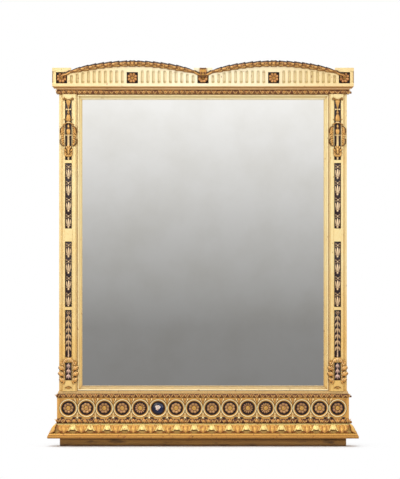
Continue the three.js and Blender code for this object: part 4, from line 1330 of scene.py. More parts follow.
@dataclass
class Pilaster:
    """Pilaster face with sunk panels of carved ornament, its capital and its leafy foot.

    The panels are the capital's, two equal arabesques, the husks' and the foot's, from the top down. The
    candelabrum's points are (radius, height, accent).
    """

    side: str
    drop: float = 30.0
    capital: float = 300.0
    small_gap: float = 15.0
    middle_gap: float = 65.0
    husk_panel: float = 237.0
    foot_gap: float = 25.0
    foot: float = 90.0
    foot_rise: float = 55.0
    panel: float = 18.0
    recess: float = 6.0
    quirk: float = 0.5
    motifs: int = 4
    husk_count: int = 6
    panels: dict[str, tuple[float, float]] = field(default_factory=dict)
    candelabrum: tuple[Point, ...] = (
        (0.3, 1), (3.4, 1.5, -0.8), (3.6, 8, -0.9), (4.2, 15, -0.6), (11.5, 17, 0.7), (13, 19, -0.4),
        (15, 24, 0), (14, 27, 0.8), (8, 30, 1), (7, 36, 0.4), (10, 44, 0.1), (12, 51, 0.2), (9, 59, 0.7),
        (6.5, 66, 0), (5.5, 74, -0.8), (5, 80, -0.9), (4.8, 118, -0.9), (7, 121, -0.8), (8, 124, -1),
        (6, 127, 0.6), (7, 132, 0), (9, 143, -0.2), (8.6, 150, -0.1), (6, 156, 0.5), (3, 158, 1), (3, 160, 1),
        (4.4, 166, -0.4), (3.6, 173, -0.2), (2, 178, 0.8), (2, 182, 0.8), (8, 184, 0.3), (10.5, 187, -1),
        (10.5, 190, -1), (8, 191.5, 0.9), (8.5, 194, 0.8), (11, 196, 0), (11.3, 199, 0.1), (11, 204, 0.1),
        (9.8, 214, 0), (7.6, 222, 0), (5.5, 228, 0.4), (3.4, 230, 1), (4.5, 233, 0.3), (5.4, 238, 0.1),
        (4, 243, 0.4), (2.8, 247, 0.2), (2.8, 250, -0.9), (2.8, 260, 0.2), (4.2, 266, 0.2), (7, 278, -0.2),
        (10, 290, -0.2), (11.5, 296, -0.3), (11, 298, 0.2), (0.3, 298.6))

    def build(self, palette: Palette, row: Repeater) -> None:
        """Makes the board, the dark grounds, the relief, the capital and the foot."""
        self.node = f"pilaster_{self.side}"
        self.span = Span.of(self.node)
        self.x = Span.of(f"capital_carving_{self.side}").mid[0]
        self.front = self.span.out1
        self.floor = self.front - self.recess
        top, bottom = self.span.z1 + FIT, self.span.z0 - FIT
        arabesque = (top - bottom - self.drop - self.capital - 2 * self.small_gap - self.middle_gap
                     - self.husk_panel - self.foot_gap - self.foot - self.foot_rise) / 2
        z = top - self.drop
        for name, height, gap in (("capital", self.capital, self.small_gap),
                                  ("upper", arabesque, self.middle_gap), ("lower", arabesque, self.small_gap),
                                  ("husks", self.husk_panel, self.foot_gap), ("foot", self.foot, 0.0)):
            self.panels[name] = (z - height, z)
            z -= height + gap
        self._board(palette)
        self._grounds(palette)
        self._relief(palette, row)
        self._capital(palette)
        self._foot(palette)

    def _board(self, palette: Palette) -> None:
        """Makes the face board: grooved edges, and lines round each sunk panel."""
        outer = 1 if self.side == "right" else -1
        sight = Span.of(f"sight_{self.side}")
        near = abs(self.x) - max(abs(sight.x0), abs(sight.x1)) - self.quirk
        far = abs((self.span.x1 if outer > 0 else self.span.x0) - self.x)
        rim = self.panel - 1.2
        frame_line = ((0, 0.5), (0.5, 0.1), (1.8, 0.0), (3, 0.1), (3.8, 0.5), (5.2, 0.5), (6, 0.1))
        across = [(away - near, down) for away, down in (
            (0, 1.0), (0.8, 0.3), (3, 0.1), (3.8, 1.4), (5.8, 1.4), (6.6, 0.1))]
        across += [(-rim - away, 0.8 if 3 < away < 6 else down) for away, down in reversed(frame_line)]
        across += [(0.1 - rim, -1.0), (rim - 0.1, -1.0)]
        across += [(rim + away, down) for away, down in frame_line]
        across += [(far - 1.5, 0.1), (far - 0.4, 1.0), (far, 2.4)]
        rows = [self.span.z0, self.span.z0 + 0.6]
        for low, high in sorted(self.panels.values()):
            rows += [low - 0.05, low + 0.05, high - 0.05, high + 0.05]
        rows += [self.span.z1 - 0.6, self.span.z1]
        grid = []
        for z in rows:
            sunk = any(low < z < high for low, high in self.panels.values())
            ground = self.floor - 0.6 if sunk else self.front - 0.5
            face = self.front - (0.6 if z in (rows[0], rows[-1]) else 0.0)
            grid.append([(self.x + outer * x, ground if down < 0 else face - down, z) for x, down in across])
        # Sunk points darken by their depth, more on the outer half: painted shade in the grooves.
        tint = np.array([min(1.0, max(0.0, down)) * (0.15 if x < 0 else 0.7) for x, down in across])
        carver = Carver()
        carver.between(np.array(grid), self.span.out0, tint)
        carver.piece(f"pilaster_board_{self.side}", palette.pale, self.node, Slot.PALE, smooth=30)

    def _grounds(self, palette: Palette) -> None:
        """Makes the dark ground at the bottom of each panel."""
        carver = Carver()
        x, half, floor = self.x, self.panel - 0.2, self.floor
        for low, high in self.panels.values():
            carver.box(Span(x - half, x + half, floor - 0.5, floor, low + 0.2, high - 0.2), 0.1)
        carver.piece(f"panel_grounds_{self.side}", palette.dark, self.node, Slot.PALE)

    def _relief(self, palette: Palette, row: Repeater) -> None:
        """Lays the arabesques and the husks in their panels."""
        meshes = []
        for name in ("upper", "lower"):
            low, high = self.panels[name]
            pitch = (high - low) / self.motifs
            start, end = (spot(self.x, self.floor, z) for z in (low, high - pitch))
            meshes.append(row.lay(self._motif(pitch), palette.relief, Count=self.motifs, Start=start, End=end,
                                  Vary=0.03, Seed=len(name)))
        carver = Carver(accent=0.3, edge=1.3)
        low, high = self.panels["husks"]
        pitch = (high - low - 54) / self.husk_count
        for k in range(self.husk_count):
            half = 9.5 + 4.0 * (self.husk_count - k) / self.husk_count
            self._husk(carver, low + 30 + k * pitch, pitch, half)
        carver.accent = -0.5
        carver.tube([(self.x, self.floor + 2, low + z) for z in (2, 14, 26, 36)], (5, 3.6, 3.2, 4), 10, 0.8)
        carver.accent = 0.5
        carver.flower(self.x, high - 14, self.floor - 0.3, 10, self.recess, 6)
        carver.accent, carver.edge = -0.9, 0.7
        for k in range(3):
            self._husk(carver, self.panels["foot"][0] + 8 + k * 26, 26, 9.5 - 1.6 * k)
        meshes.append(carver.mesh("husks"))
        finish_piece(f"panel_relief_{self.side}", together("relief", meshes), palette.relief, self.node,
                     smooth=55)

    def _motif(self, pitch: float) -> Carver:
        """Returns one arabesque: bead, tulip and crossed scrolls, from its foot up."""
        carver = Carver(wall=0, edge=0.8)
        k, out = pitch / 82, 1.0
        carver.turned([(0.3, 1), (4, 3), (5.4, 7), (4, 11), (0.3, 13)], 0, out, 0, 14, 0.7)
        for side in SIDES:
            seat = Seat(side=side)
            carver.leaves([(1, 12 * k, 10.5, 50 * k, 8, 0.25)], seat, out, out, -3.5, lift=1.6, thickness=2)
            carver.leaves([(1, 8 * k, 13, 17 * k, 5, 0.5)], seat, out, out, 2, lift=1.2, thickness=1.8,
                          steps=(8, 5))
            carver.scroll(seat, [(-10, out, 73 * k), (0, out + 1.2, 62 * k), (10, out, 55 * k)], 9,
                          (10, out, 58.6 * k), (-0.22, 0.6, 3.6, 1.2, 10), (1.9, 1.1), 7, 0.8)
            carver.tube(spiral(*seat.at(-10, out, 70 * k), 0.25, 1.1, 3.6, 1.1, 12, side), 1.5, 7, 0.8)
        carver.accent = 0.0
        carver.leaf((0, out + 0.6, 14 * k), (0, out + 0.4, 54 * k), 11, lift=2.2, thickness=2.4)
        carver.turned([(0.3, 58), (2.6, 60), (3.4, 63), (2.6, 66), (0.3, 68)], 0, out + 1.4, 0, 12, 0.7)
        return carver

    def _husk(self, carver: Carver, z: float, pitch: float, half: float) -> None:
        """Adds one bellflower that opens downwards, hung from the one above."""
        x, out, top = self.x, self.floor + 1.0, z + pitch * 0.9
        for side in SIDES:
            carver.leaf((x + side, out, top - 3), (x + side * half, out, z + 2), half * 0.85, lift=1.6,
                        bend=side * 2.2, curl=1.0, thickness=2)
        carver.leaf((x, out + 0.8, top), (x, out + 0.6, z - 1), half * 0.95, lift=2.0, thickness=2.2)
        carver.turned([(0.3, 0), (2.4, 1.5), (2.8, 3.5), (2.2, 5.5), (0.3, 7)], x, out + 1, top - 3, 12, 0.8)

    def _capital(self, palette: Palette) -> None:
        """Makes the candelabrum with its volutes and the leafy scroll brackets beside it."""
        low = self.panels["capital"][0]
        out, high = self.floor + 4.5, self.front + 3.6
        middle, halves = Seat(self.x, low), [Seat(self.x, low, side) for side in SIDES]
        carver = Carver(edge=0.7)
        carver.turned(self.candelabrum, self.x, out, low, 40, 0.6, gadroons=10)
        carver.accent = -0.9
        for radius, points in ((2.2, ((-10, out + 1, 253), (10, out + 1, 253))),
                               (1.6, ((-15, high - 2, 124), (0, high - 1, 125), (15, high - 2, 124)))):
            carver.tube([middle.at(*point) for point in points], radius)
        for seat in halves:
            carver.accent, carver.edge = -1.0, 0.8
            carver.turned([(0.3, 0), (3, 1), (4.2, 4), (3, 7), (0.3, 8)], *seat.at(10, out + 1, 249), 12)
            carver.accent, carver.edge = 0.6, 0.5
            carver.scroll(seat, [(0, high - 1, 300), (8, high, 301), (14, high, 305)], 8, (21, high, 304),
                          (0.5, -0.9, 5.6, 1.4, 22), (3.4, 1.8), 10, ribs=0.1)
            carver.accent = 0.55
            carver.scroll(seat, [(6, high - 3, 186), (13, high - 1, 183), (19, high, 177)], 9,
                          (23.5, high, 177), (0.5, 1.25, 4.2, 1.2, 14), (2.8, 1.5))
            hook = seat.path([(11, out + 3, 206), (17, high - 2, 201), (23, high, 204)], 10)
            carver.tube(hook, (2.2, 1.1), 8)
            self._bracket(carver, seat, high)
            carver.edge = 0.9
            carver.leaves(((4, 34, 22, 57, 12, 0.1), (6, 26, 20, 41, 12, 0.3), (9, 18, 19, 33, 10, -0.2),
                           (3, 52, 13, 70, 8, -0.3)), seat, out + 4, high, curl=2.5, lobes=2, thickness=2)
        carver.accent, carver.edge = 1.0, 0.2
        for seat in halves:
            carver.tube(spiral(*seat.at(12.5, high + 2.4, 41), 0.3, 1.15, 4.4, 1.4, 14, seat.side), 1.5, 8)
            carver.tube(spiral(*seat.at(12, high + 0.5, 66), 0.55, 1.0, 5.0, 4.0, 8, seat.side), 1.4, 8)
        carver.edge = 0.9
        carver.leaves([(0, 28, 0, 62, 14, -0.1)], middle, out + 6, high + 1, curl=1.5, lobes=2, thickness=2)
        carver.piece(f"capital_{self.side}", palette.carved, f"capital_carving_{self.side}", Slot.GILT,
                     smooth=55)

    def _bracket(self, carver: Carver, seat: Seat, out: float) -> None:
        """Adds the two acanthus scrolls that flank the candelabrum on one side."""
        for z, flip in ((142, 1), (96, -1)):
            # Each scroll is dark all round: painted shadow along its edge.
            carver.accent, carver.edge = 1.0, 0.2
            stem = [(x, out, z + flip * rise) for x, rise in ((20, 25), (30, 23), (39.5, 12), (40.5, -2))]
            line = carver.scroll(seat, stem, 14, (33.5, out, z - flip * 4),
                                 (0.02, 0.02 - 0.8 * flip, 7.0, 1.8, 18), (2.7, 1.9), ribs=0.1)
            carver.accent = -0.7
            # A thinner light rod inside each scroll: painted highlight.
            carver.tube(line[:18] - (seat.side * 3.6, 0.8, flip * 3.0), 1.3, 8, 0.85)
        carver.edge = 1.0
        carver.leaves(((21, 164, 35, 152, 11, 0), (22, 156, 37, 139, 13, 0.15), (21, 146, 38, 128, 12, 0),
                       (20, 137, 33, 118, 11, 0.2), (21, 124, 40, 116, 10, -0.2), (21, 114, 36, 105, 11, 0.1),
                       (20, 104, 36, 93, 12, 0), (21, 95, 33, 82, 11, 0.15), (20, 86, 28, 70, 9, 0),
                       (30, 130, 43.5, 126, 8, 0.3)),
                      seat, out - 2.5, out - 0.8, 2, lift=3.2, curl=1.6, lobes=3, thickness=2.4)

    def _foot(self, palette: Palette) -> None:
        """Makes the arched scroll cap, the leafy scrolls beside the foot panel and the small shell."""
        low, high = self.panels["foot"]
        x, out = self.x, self.front + 4.2
        carver = Carver()
        for side in SIDES:
            top, foot = Seat(x, high, side), Seat(x, low, side)
            carver.accent, carver.edge = -0.5, 0.9
            carver.scroll(top, [(0, out + 1, 18), (12, out + 1, 15), (21, out, 6), (25, out, -4)], 14,
                          (31.5, out, -5), (0.47, 1.4, 6.2, 1.6, 20), (4.6, 2.4), 12, 0.8, 0.12)
            carver.leaves([(22, 2, 6, 17, 13, -0.3)], top, out - 2, out + 1.5, 3, curl=1.2, lobes=2,
                          thickness=3)
            carver.leaves(((25, 10, 42, -6, 14, 0.2), (22, 4, 30, -19, 12, 0.0), (26, 70, 39, 97, 13, -0.1),
                           (24, 84, 31, 102, 9, 0.2)),
                          foot, out - 3, out - 1.5, -3, lift=3.6, curl=2.0, lobes=2, thickness=2.6)
            for z, reach, width in ((2, 46, 23), (32, 52, 27), (61, 50, 25)):
                # Behind each group of fingers lies a dark flat leaf: painted shadow that outlines them.
                carver.edge = 0.0
                carver.leaves([(21, z - 16, reach + 1, z + 3, width - 3, 1.1)], foot, out - 4, out - 2, 5,
                              lift=2.0, curl=1.0, thickness=2.4)
                carver.edge = 1.3
                fingers = ((0, 10, 11, -0.25), (1, 1.5, 11, 0.0), (7, -7, 10, 0.3), (15, 12, 8, -0.5))
                carver.leaves([(22, z - 9, reach - short, z + rise, wide, shade)
                               for short, rise, wide, shade in fingers],
                              foot, out - 3.0, out + 0.8, 2, lift=4.5, curl=2.2, thickness=2.6)
            carver.accent, carver.edge = 0.25, 0.6
            carver.tube(foot.path([(27, out - 1, self.foot - 4), (24.5, out - 1, 62), (27, out - 1, 40),
                                   (24.5, out - 1, 16), (26, out - 1, -8), (22, out - 1, -17)], 30),
                        (2.8, 1.8), 9, 0.8)
            carver.accent = -1.0
            pearl = [(r, self.front + rise) for r, rise in ((0.4, -0.5), (2.6, 0), (2.2, 1.8), (0.4, 2.6))]
            for k in range(7):
                carver.facing(pearl, x + side * 20.3, low + 6 + k * 13, 12)
        carver.edge = 0.5
        carver.leaves([(0, -42, 12 * math.sin(turn), 11 * math.cos(turn) - 42, 6, 0.3)
                       for turn in np.linspace(-0.36, 0.36, 3) * math.pi],
                      Seat(x, low), out - 3.5, out - 2.5, lift=1.2)
        carver.accent = 0.65
        arch = spiral(x, self.front + 1.2, 0, 0.04, 0.46, 17.0, 17.0, 20) * (1, 1, 0.72) + (0, 0, low - 43)
        carver.tube(arch, 1.5, 8)
        carver.accent = -0.6
        carver.leaf((x, out, high + 6), (x, out + 1.6, high + 25), 15, curl=1.5, lobes=2, thickness=3)
        carver.piece(f"foot_leaves_{self.side}", palette.carved, f"foot_carving_{self.side}", Slot.GILT,
                     smooth=55)


@dataclass
class Crest:
    """Fluted board with two arches, five rosettes in dark squares and a laurel garland on each arch.

    Blocks are the flat-topped parts with a square each. Square is half of one's width, and a bay is the
    distance between two of them.
    """

    block: float = 94.0
    arch_drop: float = 20.5
    arch_rise: float = 41.0
    square: float = 28.0
    square_rise: float = 15.0
    recess: float = 12.0
    flutes: int = 10
    flute_pitch: float = 28.2
    flute_half: float = 7.6
    flute_depth: float = 6.2
    headroom: float = 17.0
    clusters: int = 9
    thin: float = 0.55

    def build(self, palette: Palette, arc: Repeater) -> None:
        """Makes the board, the grounds, the rosettes and the garlands."""
        self.span = Span.of("crest_board")
        self.front = self.span.out1
        self.bay = (self.span.x1 - self.block / 2) / 2
        self.bay_half = self.bay - self.block / 2
        self.radius = (self.bay_half ** 2 + self.arch_rise ** 2) / (2 * self.arch_rise)
        self.block_top = self.span.z1 - self.arch_rise + self.arch_drop
        self.arch_z = self.span.z1 - self.radius
        self.square_z = self.span.z0 + self.square_rise + self.square
        self.squares = [k * self.bay for k in (-2, -1, 0, 1, 2)]
        self._board(palette)
        self._grounds(palette)
        for number, x in enumerate(self.squares, start=1):
            self._rosette(palette, number, x)
        for name, side in (("left", -1), ("right", 1)):
            self._garland(palette, arc, name, side)

    def top_at(self, x: Array | float) -> Array:
        """Returns the height of the board's top edge at x."""
        away = np.abs(np.abs(x) - self.bay)
        arch = self.arch_z + np.sqrt(np.maximum(self.radius ** 2 - away ** 2, 0))
        return np.where(away < self.bay_half, arch, self.block_top)

    def _flute_depth(self, x: Array, z: Array) -> tuple[Array, Array]:
        """Returns how deep the flutes are cut at each point of the face, and the painted shade of the gold
        there.
        """
        first = (self.flutes - 1) / 2
        place = (np.abs(x) % self.bay - self.bay / 2) / self.flute_pitch + first
        number = np.clip(np.round(place), 0, self.flutes - 1)
        dx = (place - number) * self.flute_pitch
        axis = (np.floor(np.abs(x) / self.bay) + 0.5) * self.bay + (number - first) * self.flute_pitch
        foot = self.square_z - self.square + self.flute_half
        limit = self.top_at(axis) - self.headroom
        head = np.minimum(self.square_z + self.square + 7, limit) - self.flute_half
        dz = np.maximum(0, np.maximum(foot - z, z - head))
        cut = np.sqrt(np.clip(1 - (dx ** 2 + dz ** 2) / self.flute_half ** 2, 0, 1))
        # Each flute darkens towards its right side and at its foot: painted shade.
        flute_shade = 0.26 + 0.34 * dx / self.flute_half + 0.45 * np.exp(-((z - foot + 2) / 6) ** 2)
        return self.flute_depth * cut, cut ** 0.7 * flute_shade

    def _board(self, palette: Palette) -> None:
        """Makes the board as a grid that follows every flute and square."""
        end, step = self.span.x1, 0.05
        xs = [-end, 0.8 - end, end - 0.8, end]
        for x in self.squares:
            xs += [x + side * self.square + nudge for side in SIDES for nudge in (-step, step)]
        for edge in (self.bay - self.bay_half, self.bay + self.bay_half):
            xs += [side * edge + nudge for side in SIDES for nudge in (-step, step)]
        grades = np.array([-1.12, -1, -0.94, -0.82, -0.6, -0.3, 0, 0.3, 0.6, 0.82, 0.94, 1, 1.12])
        for middle in (-1.5, -0.5, 0.5, 1.5):
            for k in range(self.flutes):
                axis = middle * self.bay + (k - (self.flutes - 1) / 2) * self.flute_pitch
                xs += list(axis + grades * self.flute_half)
        xs = np.array(sorted(xs))
        foot, head = self.square_z - self.square, self.square_z + self.square
        fixed = np.concatenate((
            [self.span.z0, self.span.z0 + 0.8, foot - 1.5, foot - step, foot + step],
            foot + np.array([1, 2.4, 4.2, 6, 7.6]), np.linspace(foot + 14, foot + 30, 4),
            np.arange(foot + 33, head - 1, 2.6), [head - step, head + step]))
        top = self.top_at(xs)[:, None]
        shares = np.array([0.12, 0.25, 0.4, 0.55, 0.7, 0.85, 0.97, 1.0])[None, :]
        z = np.concatenate((np.repeat(fixed[None, :], len(xs), 0), fixed[-1] + (top - fixed[-1]) * shares), 1)
        x = np.repeat(xs[:, None], z.shape[1], 1)
        cut, tint = self._flute_depth(x, z)
        inside = np.zeros_like(x, bool)
        for centre in self.squares:
            inside |= (np.abs(x - centre) < self.square) & (np.abs(z - self.square_z) < self.square)
        rim = (np.abs(x) > end - 0.4) | (z > top - 0.3) | (z < self.span.z0 + 0.3)
        out = self.front - np.where(rim, 0.8, np.where(inside, self.recess + 0.7, cut))
        tint = np.where(rim, 0.3, np.where(inside, 0, tint))
        carver = Carver()
        carver.between(np.stack((x, out, z), -1), STILE.out1 + FIT, tint)
        for side in SIDES:
            left, right = sorted((side * (STILE.x1 + FIT), side * (end - step)))
            carver.box(Span(left, right, self.span.out0, STILE.out1 + 2, self.span.z0,
                            self.block_top - step), 0.5)
        carver.piece("fluted_crest", palette.fluted, "crest_board", Slot.PALE, smooth=32)

    def _grounds(self, palette: Palette) -> None:
        """Makes the dark grounds of the five squares."""
        carver = Carver()
        half, floor, z = self.square - 0.2, self.front - self.recess, self.square_z
        for x in self.squares:
            carver.box(Span(x - half, x + half, floor - 0.5, floor, z - half, z + half), 0.1)
        carver.piece("square_grounds", palette.dark, "crest_board", Slot.PALE)

    def _rosette(self, palette: Palette, number: int, x: float) -> None:
        """Makes one rosette; the middle one carries a bud under a curled tie."""
        node = f"crest_rosette_{number}"
        carver = Carver(accent=-0.1)
        carver.flower(x, self.square_z, self.front - self.recess + FIT, 26.5, 10.6, 8, turn=0.4, eye=0.27,
                      split=0.25 if number == 3 else 0.48)
        if number == 3:
            out, base, top = self.front + 7, self.square_z + 2, Span.of(node).z1 - 3
            carver.edge = 1.3
            for tip, push, shade in ((-14, 0, -0.2), (14, 0, -0.2), (-5, 1, -0.8), (5, 1, -0.8)):
                carver.accent = shade
                carver.leaf((x + tip * 0.1, out - 3 + push, base), (x + tip, out, top), 15, curl=0.5, lobes=2,
                            bend=-tip * 0.25, thickness=2.6)
            carver.accent, carver.edge = 0.75, 0.4
            tie = Seat(x, top).path([(-16, out - 0.5, 0), (0, out + 1, -1.5), (16, out - 0.5, 0)], 11)
            carver.tube(tie, 3.0, 9)
            for side in SIDES:
                for rise, wide in ((20, 5.0), (4, 6.0)):
                    eye = Seat(x, base, side).at(7, out + 3.5, rise)
                    carver.tube(spiral(*eye, 0.2, 1.0, wide, 1.8, 12, side), 1.3, 7)
        carver.piece(f"crest_flower_{number}", palette.dusky, node, Slot.GILT, smooth=55)

    def _garland(self, palette: Palette, arc: Repeater, name: str, side: int) -> None:
        """Makes one garland: a core, leaf clusters laid towards the middle, and a crossed binding."""
        node = f"garland_{name}"
        span = Span.of(node)
        centre, top = side * self.bay, self.arch_z + self.radius
        reach = (span.x1 - span.x0) / 2 / self.radius
        out = self.front - 3.5
        at = np.linspace(-1, 1, 61)
        path = np.column_stack((centre + self.radius * np.sin(at * reach * 0.99), out + 4 * at ** 4,
                                self.arch_z + self.radius * np.cos(at * reach * 0.99)))
        core, shadow = Carver(accent=0.6), Carver()
        core.tube(path, 11.5 * (self.thin + (1 - self.thin) * np.cos(math.pi / 2 * at ** 4)), 10, 0.8)
        for turn, end in ((-1, path[0]), (1, path[-1])):
            rosette = centre + turn * self.bay
            tail = smooth_path([end - (turn * 12, 0, -4), (rosette - turn * 22, end[1] + 2, end[2] - 8),
                                (rosette - turn * 9, end[1] + 1, self.square_z + 16),
                                (rosette - turn, end[1], self.square_z + 1)], 16)
            core.accent, core.edge = -0.45, 1.2
            core.tube(tail, (7.4, 3.4), 9, 0.7, 0.14)
            # A dark rod laid just above each tail is painted shadow.
            shadow.tube(tail[:11] + (turn * 2.4, 1, 6.0), (3.2, 2.4), 8)
            core.accent, core.edge = 0.1, 1.0
            for share, width in ((2, 11), (6, 10), (10, 9)):
                core.leaf(tail[share], tail[share] + (turn * 17, 1.5, -2 - share), width, lift=2, thickness=2)
            core.accent, core.edge = 0.45, 0.6
            core.tube(smooth_path([(centre - turn * dx, out + push, top + dz) for dx, push, dz in (
                (15, 1, -15), (9, 10, -9), (0, 15, 0), (-9, 10, 9), (-14, 1, 14))], 16), 3.2, 9, 0.6, 0.1)
        core.edge = 0.0
        core.facing(((0.4, out + 10), (8, out + 14, 0.9), (7.2, out + 17, 0.3), (4, out + 18.4, -0.3),
                     (0.4, out + 18.8, -0.4)), centre, top, 20)
        for piece, finish, first, crown in ((f"laurel_{name}", palette.laurel, core, False),
                                            (f"laurel_crown_{name}", palette.dark, shadow, True)):
            meshes = [first.mesh("first")]
            for hand in (1, -1):
                meshes.append(arc.lay(self._cluster(hand, crown), finish, Count=self.clusters,
                                      Centre=spot(centre, out, self.arch_z), Radius=self.radius * MM,
                                      From=-hand * reach * 0.97, To=-hand * 0.012, Thin=self.thin))
            finish_piece(piece, together(piece, meshes), finish, node, smooth=50)

    def _cluster(self, hand: int, crown: bool) -> Carver:
        """Returns the laurel leaves and berries of one length, which point along the arch.

        Args:
            hand: 1 to point along +X, -1 along -X.
            crown: whether to return the blackened leaves along the top or the others.
        """
        carver = Carver(wall=0, edge=0.8)
        first, second = ((44, 70, 98), (56, 86)) if crown else ((-84, -58, -32, -6, 19), (-70, -44, -18, 7))
        for start, low, high, turns in ((-15, 8.0, 14.6 if crown else 15.2, first), (-33, 7.0, 12.5, second)):
            for number, turn in enumerate(turns):
                away = np.array((0, math.cos(math.radians(turn)), math.sin(math.radians(turn))))
                carver.accent = (0.1, -0.6, 0.5)[(number + len(turns)) % 3]
                self._laurel_leaf(carver, np.array((hand * start, 0, 0)) + away * low,
                                  np.array((hand * (start + 42), 0, 0)) + away * high, away)
        carver.accent, carver.edge = -0.8, 0.6
        for turn in () if crown else (-38, -5, 24):
            angle = math.radians(turn)
            carver.turned([(0.3, -3), (2.4, -1.8), (3.1, 0), (2.4, 1.8), (0.3, 3)], hand * 10,
                          15.6 * math.cos(angle), 15.6 * math.sin(angle), 8)
        return carver

    def _laurel_leaf(self, carver: Carver, root: Array, tip: Array, away: Array) -> None:
        """Adds one pointed leaf whose face looks away from the garland's core."""
        along = tip - root
        side = unit(np.cross(along, away))
        u = np.linspace(0, 1, 9)[:, None]
        v = np.linspace(-1, 1, 5)[None, :]
        half = 8.4 * np.sin(math.pi * (0.05 + 0.93 * u ** 0.9)) ** 0.8
        rise = 1.8 * np.sin(math.pi * u) + 1.4 * (1 - np.abs(v)) - 2.6 * v ** 2 + 1.6 * u ** 3
        front = root + along * u[..., None] + side * (v * half)[..., None] + away * rise[..., None]
        # Leaves darken at their rims and towards their roots by the core: painted shade.
        tint = carver.edge * np.abs(v) ** 2.5 + 0.7 * (1 - u) ** 3
        carver.between(front, front - away * 1.4, carver.accent + tint)


@dataclass
class Cornice:
    """Cove under the crest, between a fillet and a square edge."""

    foot: float = 12.0

    def build(self, palette: Palette) -> None:
        """Makes the cove from the extent of its node."""
        span = Span.of("cornice")
        reach, height = span.x1 - STILE.x1, span.z1 - span.z0
        # The cove is lightest partway up and darker at its foot and top: painted light and shade.
        cove = [(self.foot + 2 + (reach - self.foot - 6) * (1 - math.cos(a)),
                 2.4 + (height - 10.6) * math.sin(a), 0.1 - 1.2 * math.sin(2 * a))
                for a in np.linspace(0, math.pi / 2, 7)]
        # The face under the square edge is dark: painted shade.
        edge = [(reach - inward, height - down, shade) for inward, down, shade in (
            (3.8, 8.0, 0.2), (3.6, 7.6, 0.9), (3.2, 3.6, 0.9), (0, 3.0, 0.2), (0, 0, -0.4))]
        carver = Carver()
        carver.wrap([(None, 0.0), (self.foot, 0.0), (self.foot + 1, 0.6, 0.3), (self.foot + 1, 2.2, 0.3),
                     *cove, *edge, (None, height)], span.z0)
        carver.piece("cove_cornice", palette.cove, "cornice", Slot.GILT, smooth=28)


@dataclass
class Hanger:
    """Steel strap with a rolled eye, its two screws and the D-ring that swings in it."""

    side: str
    wire: float = 2.5
    plate: float = 2.0
    depth: float = 10.0
    bend: float = 4.0

    def build(self, palette: Palette) -> None:
        """Makes the strap, the screws and the ring."""
        strap = Span.of(f"hanger_strap_{self.side}")
        ring = Span.of(f"hanger_ring_{self.side}")
        out, top = ring.mid[1], ring.z1 - self.wire
        eye = (strap.z1 - top) - self.plate / 2
        straight = [(strap.out1 - self.plate / 2, z) for z in np.linspace(strap.z0, top - 3, 12)]
        roll = [(out + eye * math.cos(a), top + eye * math.sin(a))
                for a in np.linspace(-0.12, 2 * math.pi - 0.75, 30)]
        line = np.array(straight + roll)
        slope = unit(np.gradient(line, axis=0))
        normal = np.column_stack((-slope[:, 1], slope[:, 0])) * self.plate / 2
        across = np.linspace(strap.x0, strap.x1, 5)
        front, back = (np.array([[(x, o, z) for x in across] for o, z in face])
                       for face in (line + normal, line - normal))
        carver = Carver()
        carver.between(front, back)
        carver.piece(f"strap_{self.side}", palette.steel, f"hanger_strap_{self.side}", Slot.STEEL)
        for number in (1, 2):
            self._screw(palette, number, strap)
        self._ring(palette, out, top, ring)

    def _screw(self, palette: Palette, number: int, strap: Span) -> None:
        """Makes one screw, with a slot across its head."""
        node = f"hanger_screw_{self.side}_{number}"
        span = Span.of(node)
        x, _, z = span.mid
        head = strap.out0 + self.depth - self.plate
        carver = Carver()
        for start in (math.pi, 0):
            angle = np.linspace(0.17, math.pi - 0.17, 12) + start
            carver.loops(np.array([hoop(x, z, r, head + rise, angle) for r, rise in (
                (3.9, -0.35), (3.0, -0.6), (2.0, 1.0), (3.9, 0.1))]))
        shank = (0.3, span.out1 - 0.1), (1.8, span.out1 - 4), (1.9, head + 0.9), (0.3, head + 0.5)
        carver.facing(shank, x, z, 14)
        carver.piece(f"screw_{self.side}_{number}", palette.steel, node, Slot.STEEL)

    def _ring(self, palette: Palette, out: float, top: float, span: Span) -> None:
        """Makes the D-ring: a straight bar through the eye, two bends and a bow."""
        x, bend = span.mid[0], self.bend
        half = (span.x1 - span.x0) / 2 - self.wire
        bow = top - 2 * bend
        drop = bow - span.z0 - self.wire
        corner = [(half - bend + bend * math.sin(a), top - bend + bend * math.cos(a))
                  for a in np.linspace(0.3, 1.4, 5)]
        line = [(dx, top) for dx in np.linspace(bend - half, half - bend, 8)] + corner
        line += [(half * math.cos(a), bow - drop * math.sin(a)) for a in np.linspace(0, math.pi, 36)]
        line += [(-dx, z) for dx, z in reversed(corner)]
        points = np.array([(x + dx, out, z) for dx, z in line])
        side = unit(np.cross(np.roll(points, -1, 0) - np.roll(points, 1, 0), OUTWARD))
        angle = circle(16)[None, :, None]
        carver = Carver()
        carver.loops(points[:, None] + self.wire * (np.cos(angle) * side[:, None] + np.sin(angle) * OUTWARD),
                     looped=True)
        carver.piece(f"ring_{self.side}_bow", palette.steel, f"hanger_ring_{self.side}", Slot.STEEL,
                     body=f"ring_{self.side}")


# ---- Studio ------------------------------------------------------------------------------------------

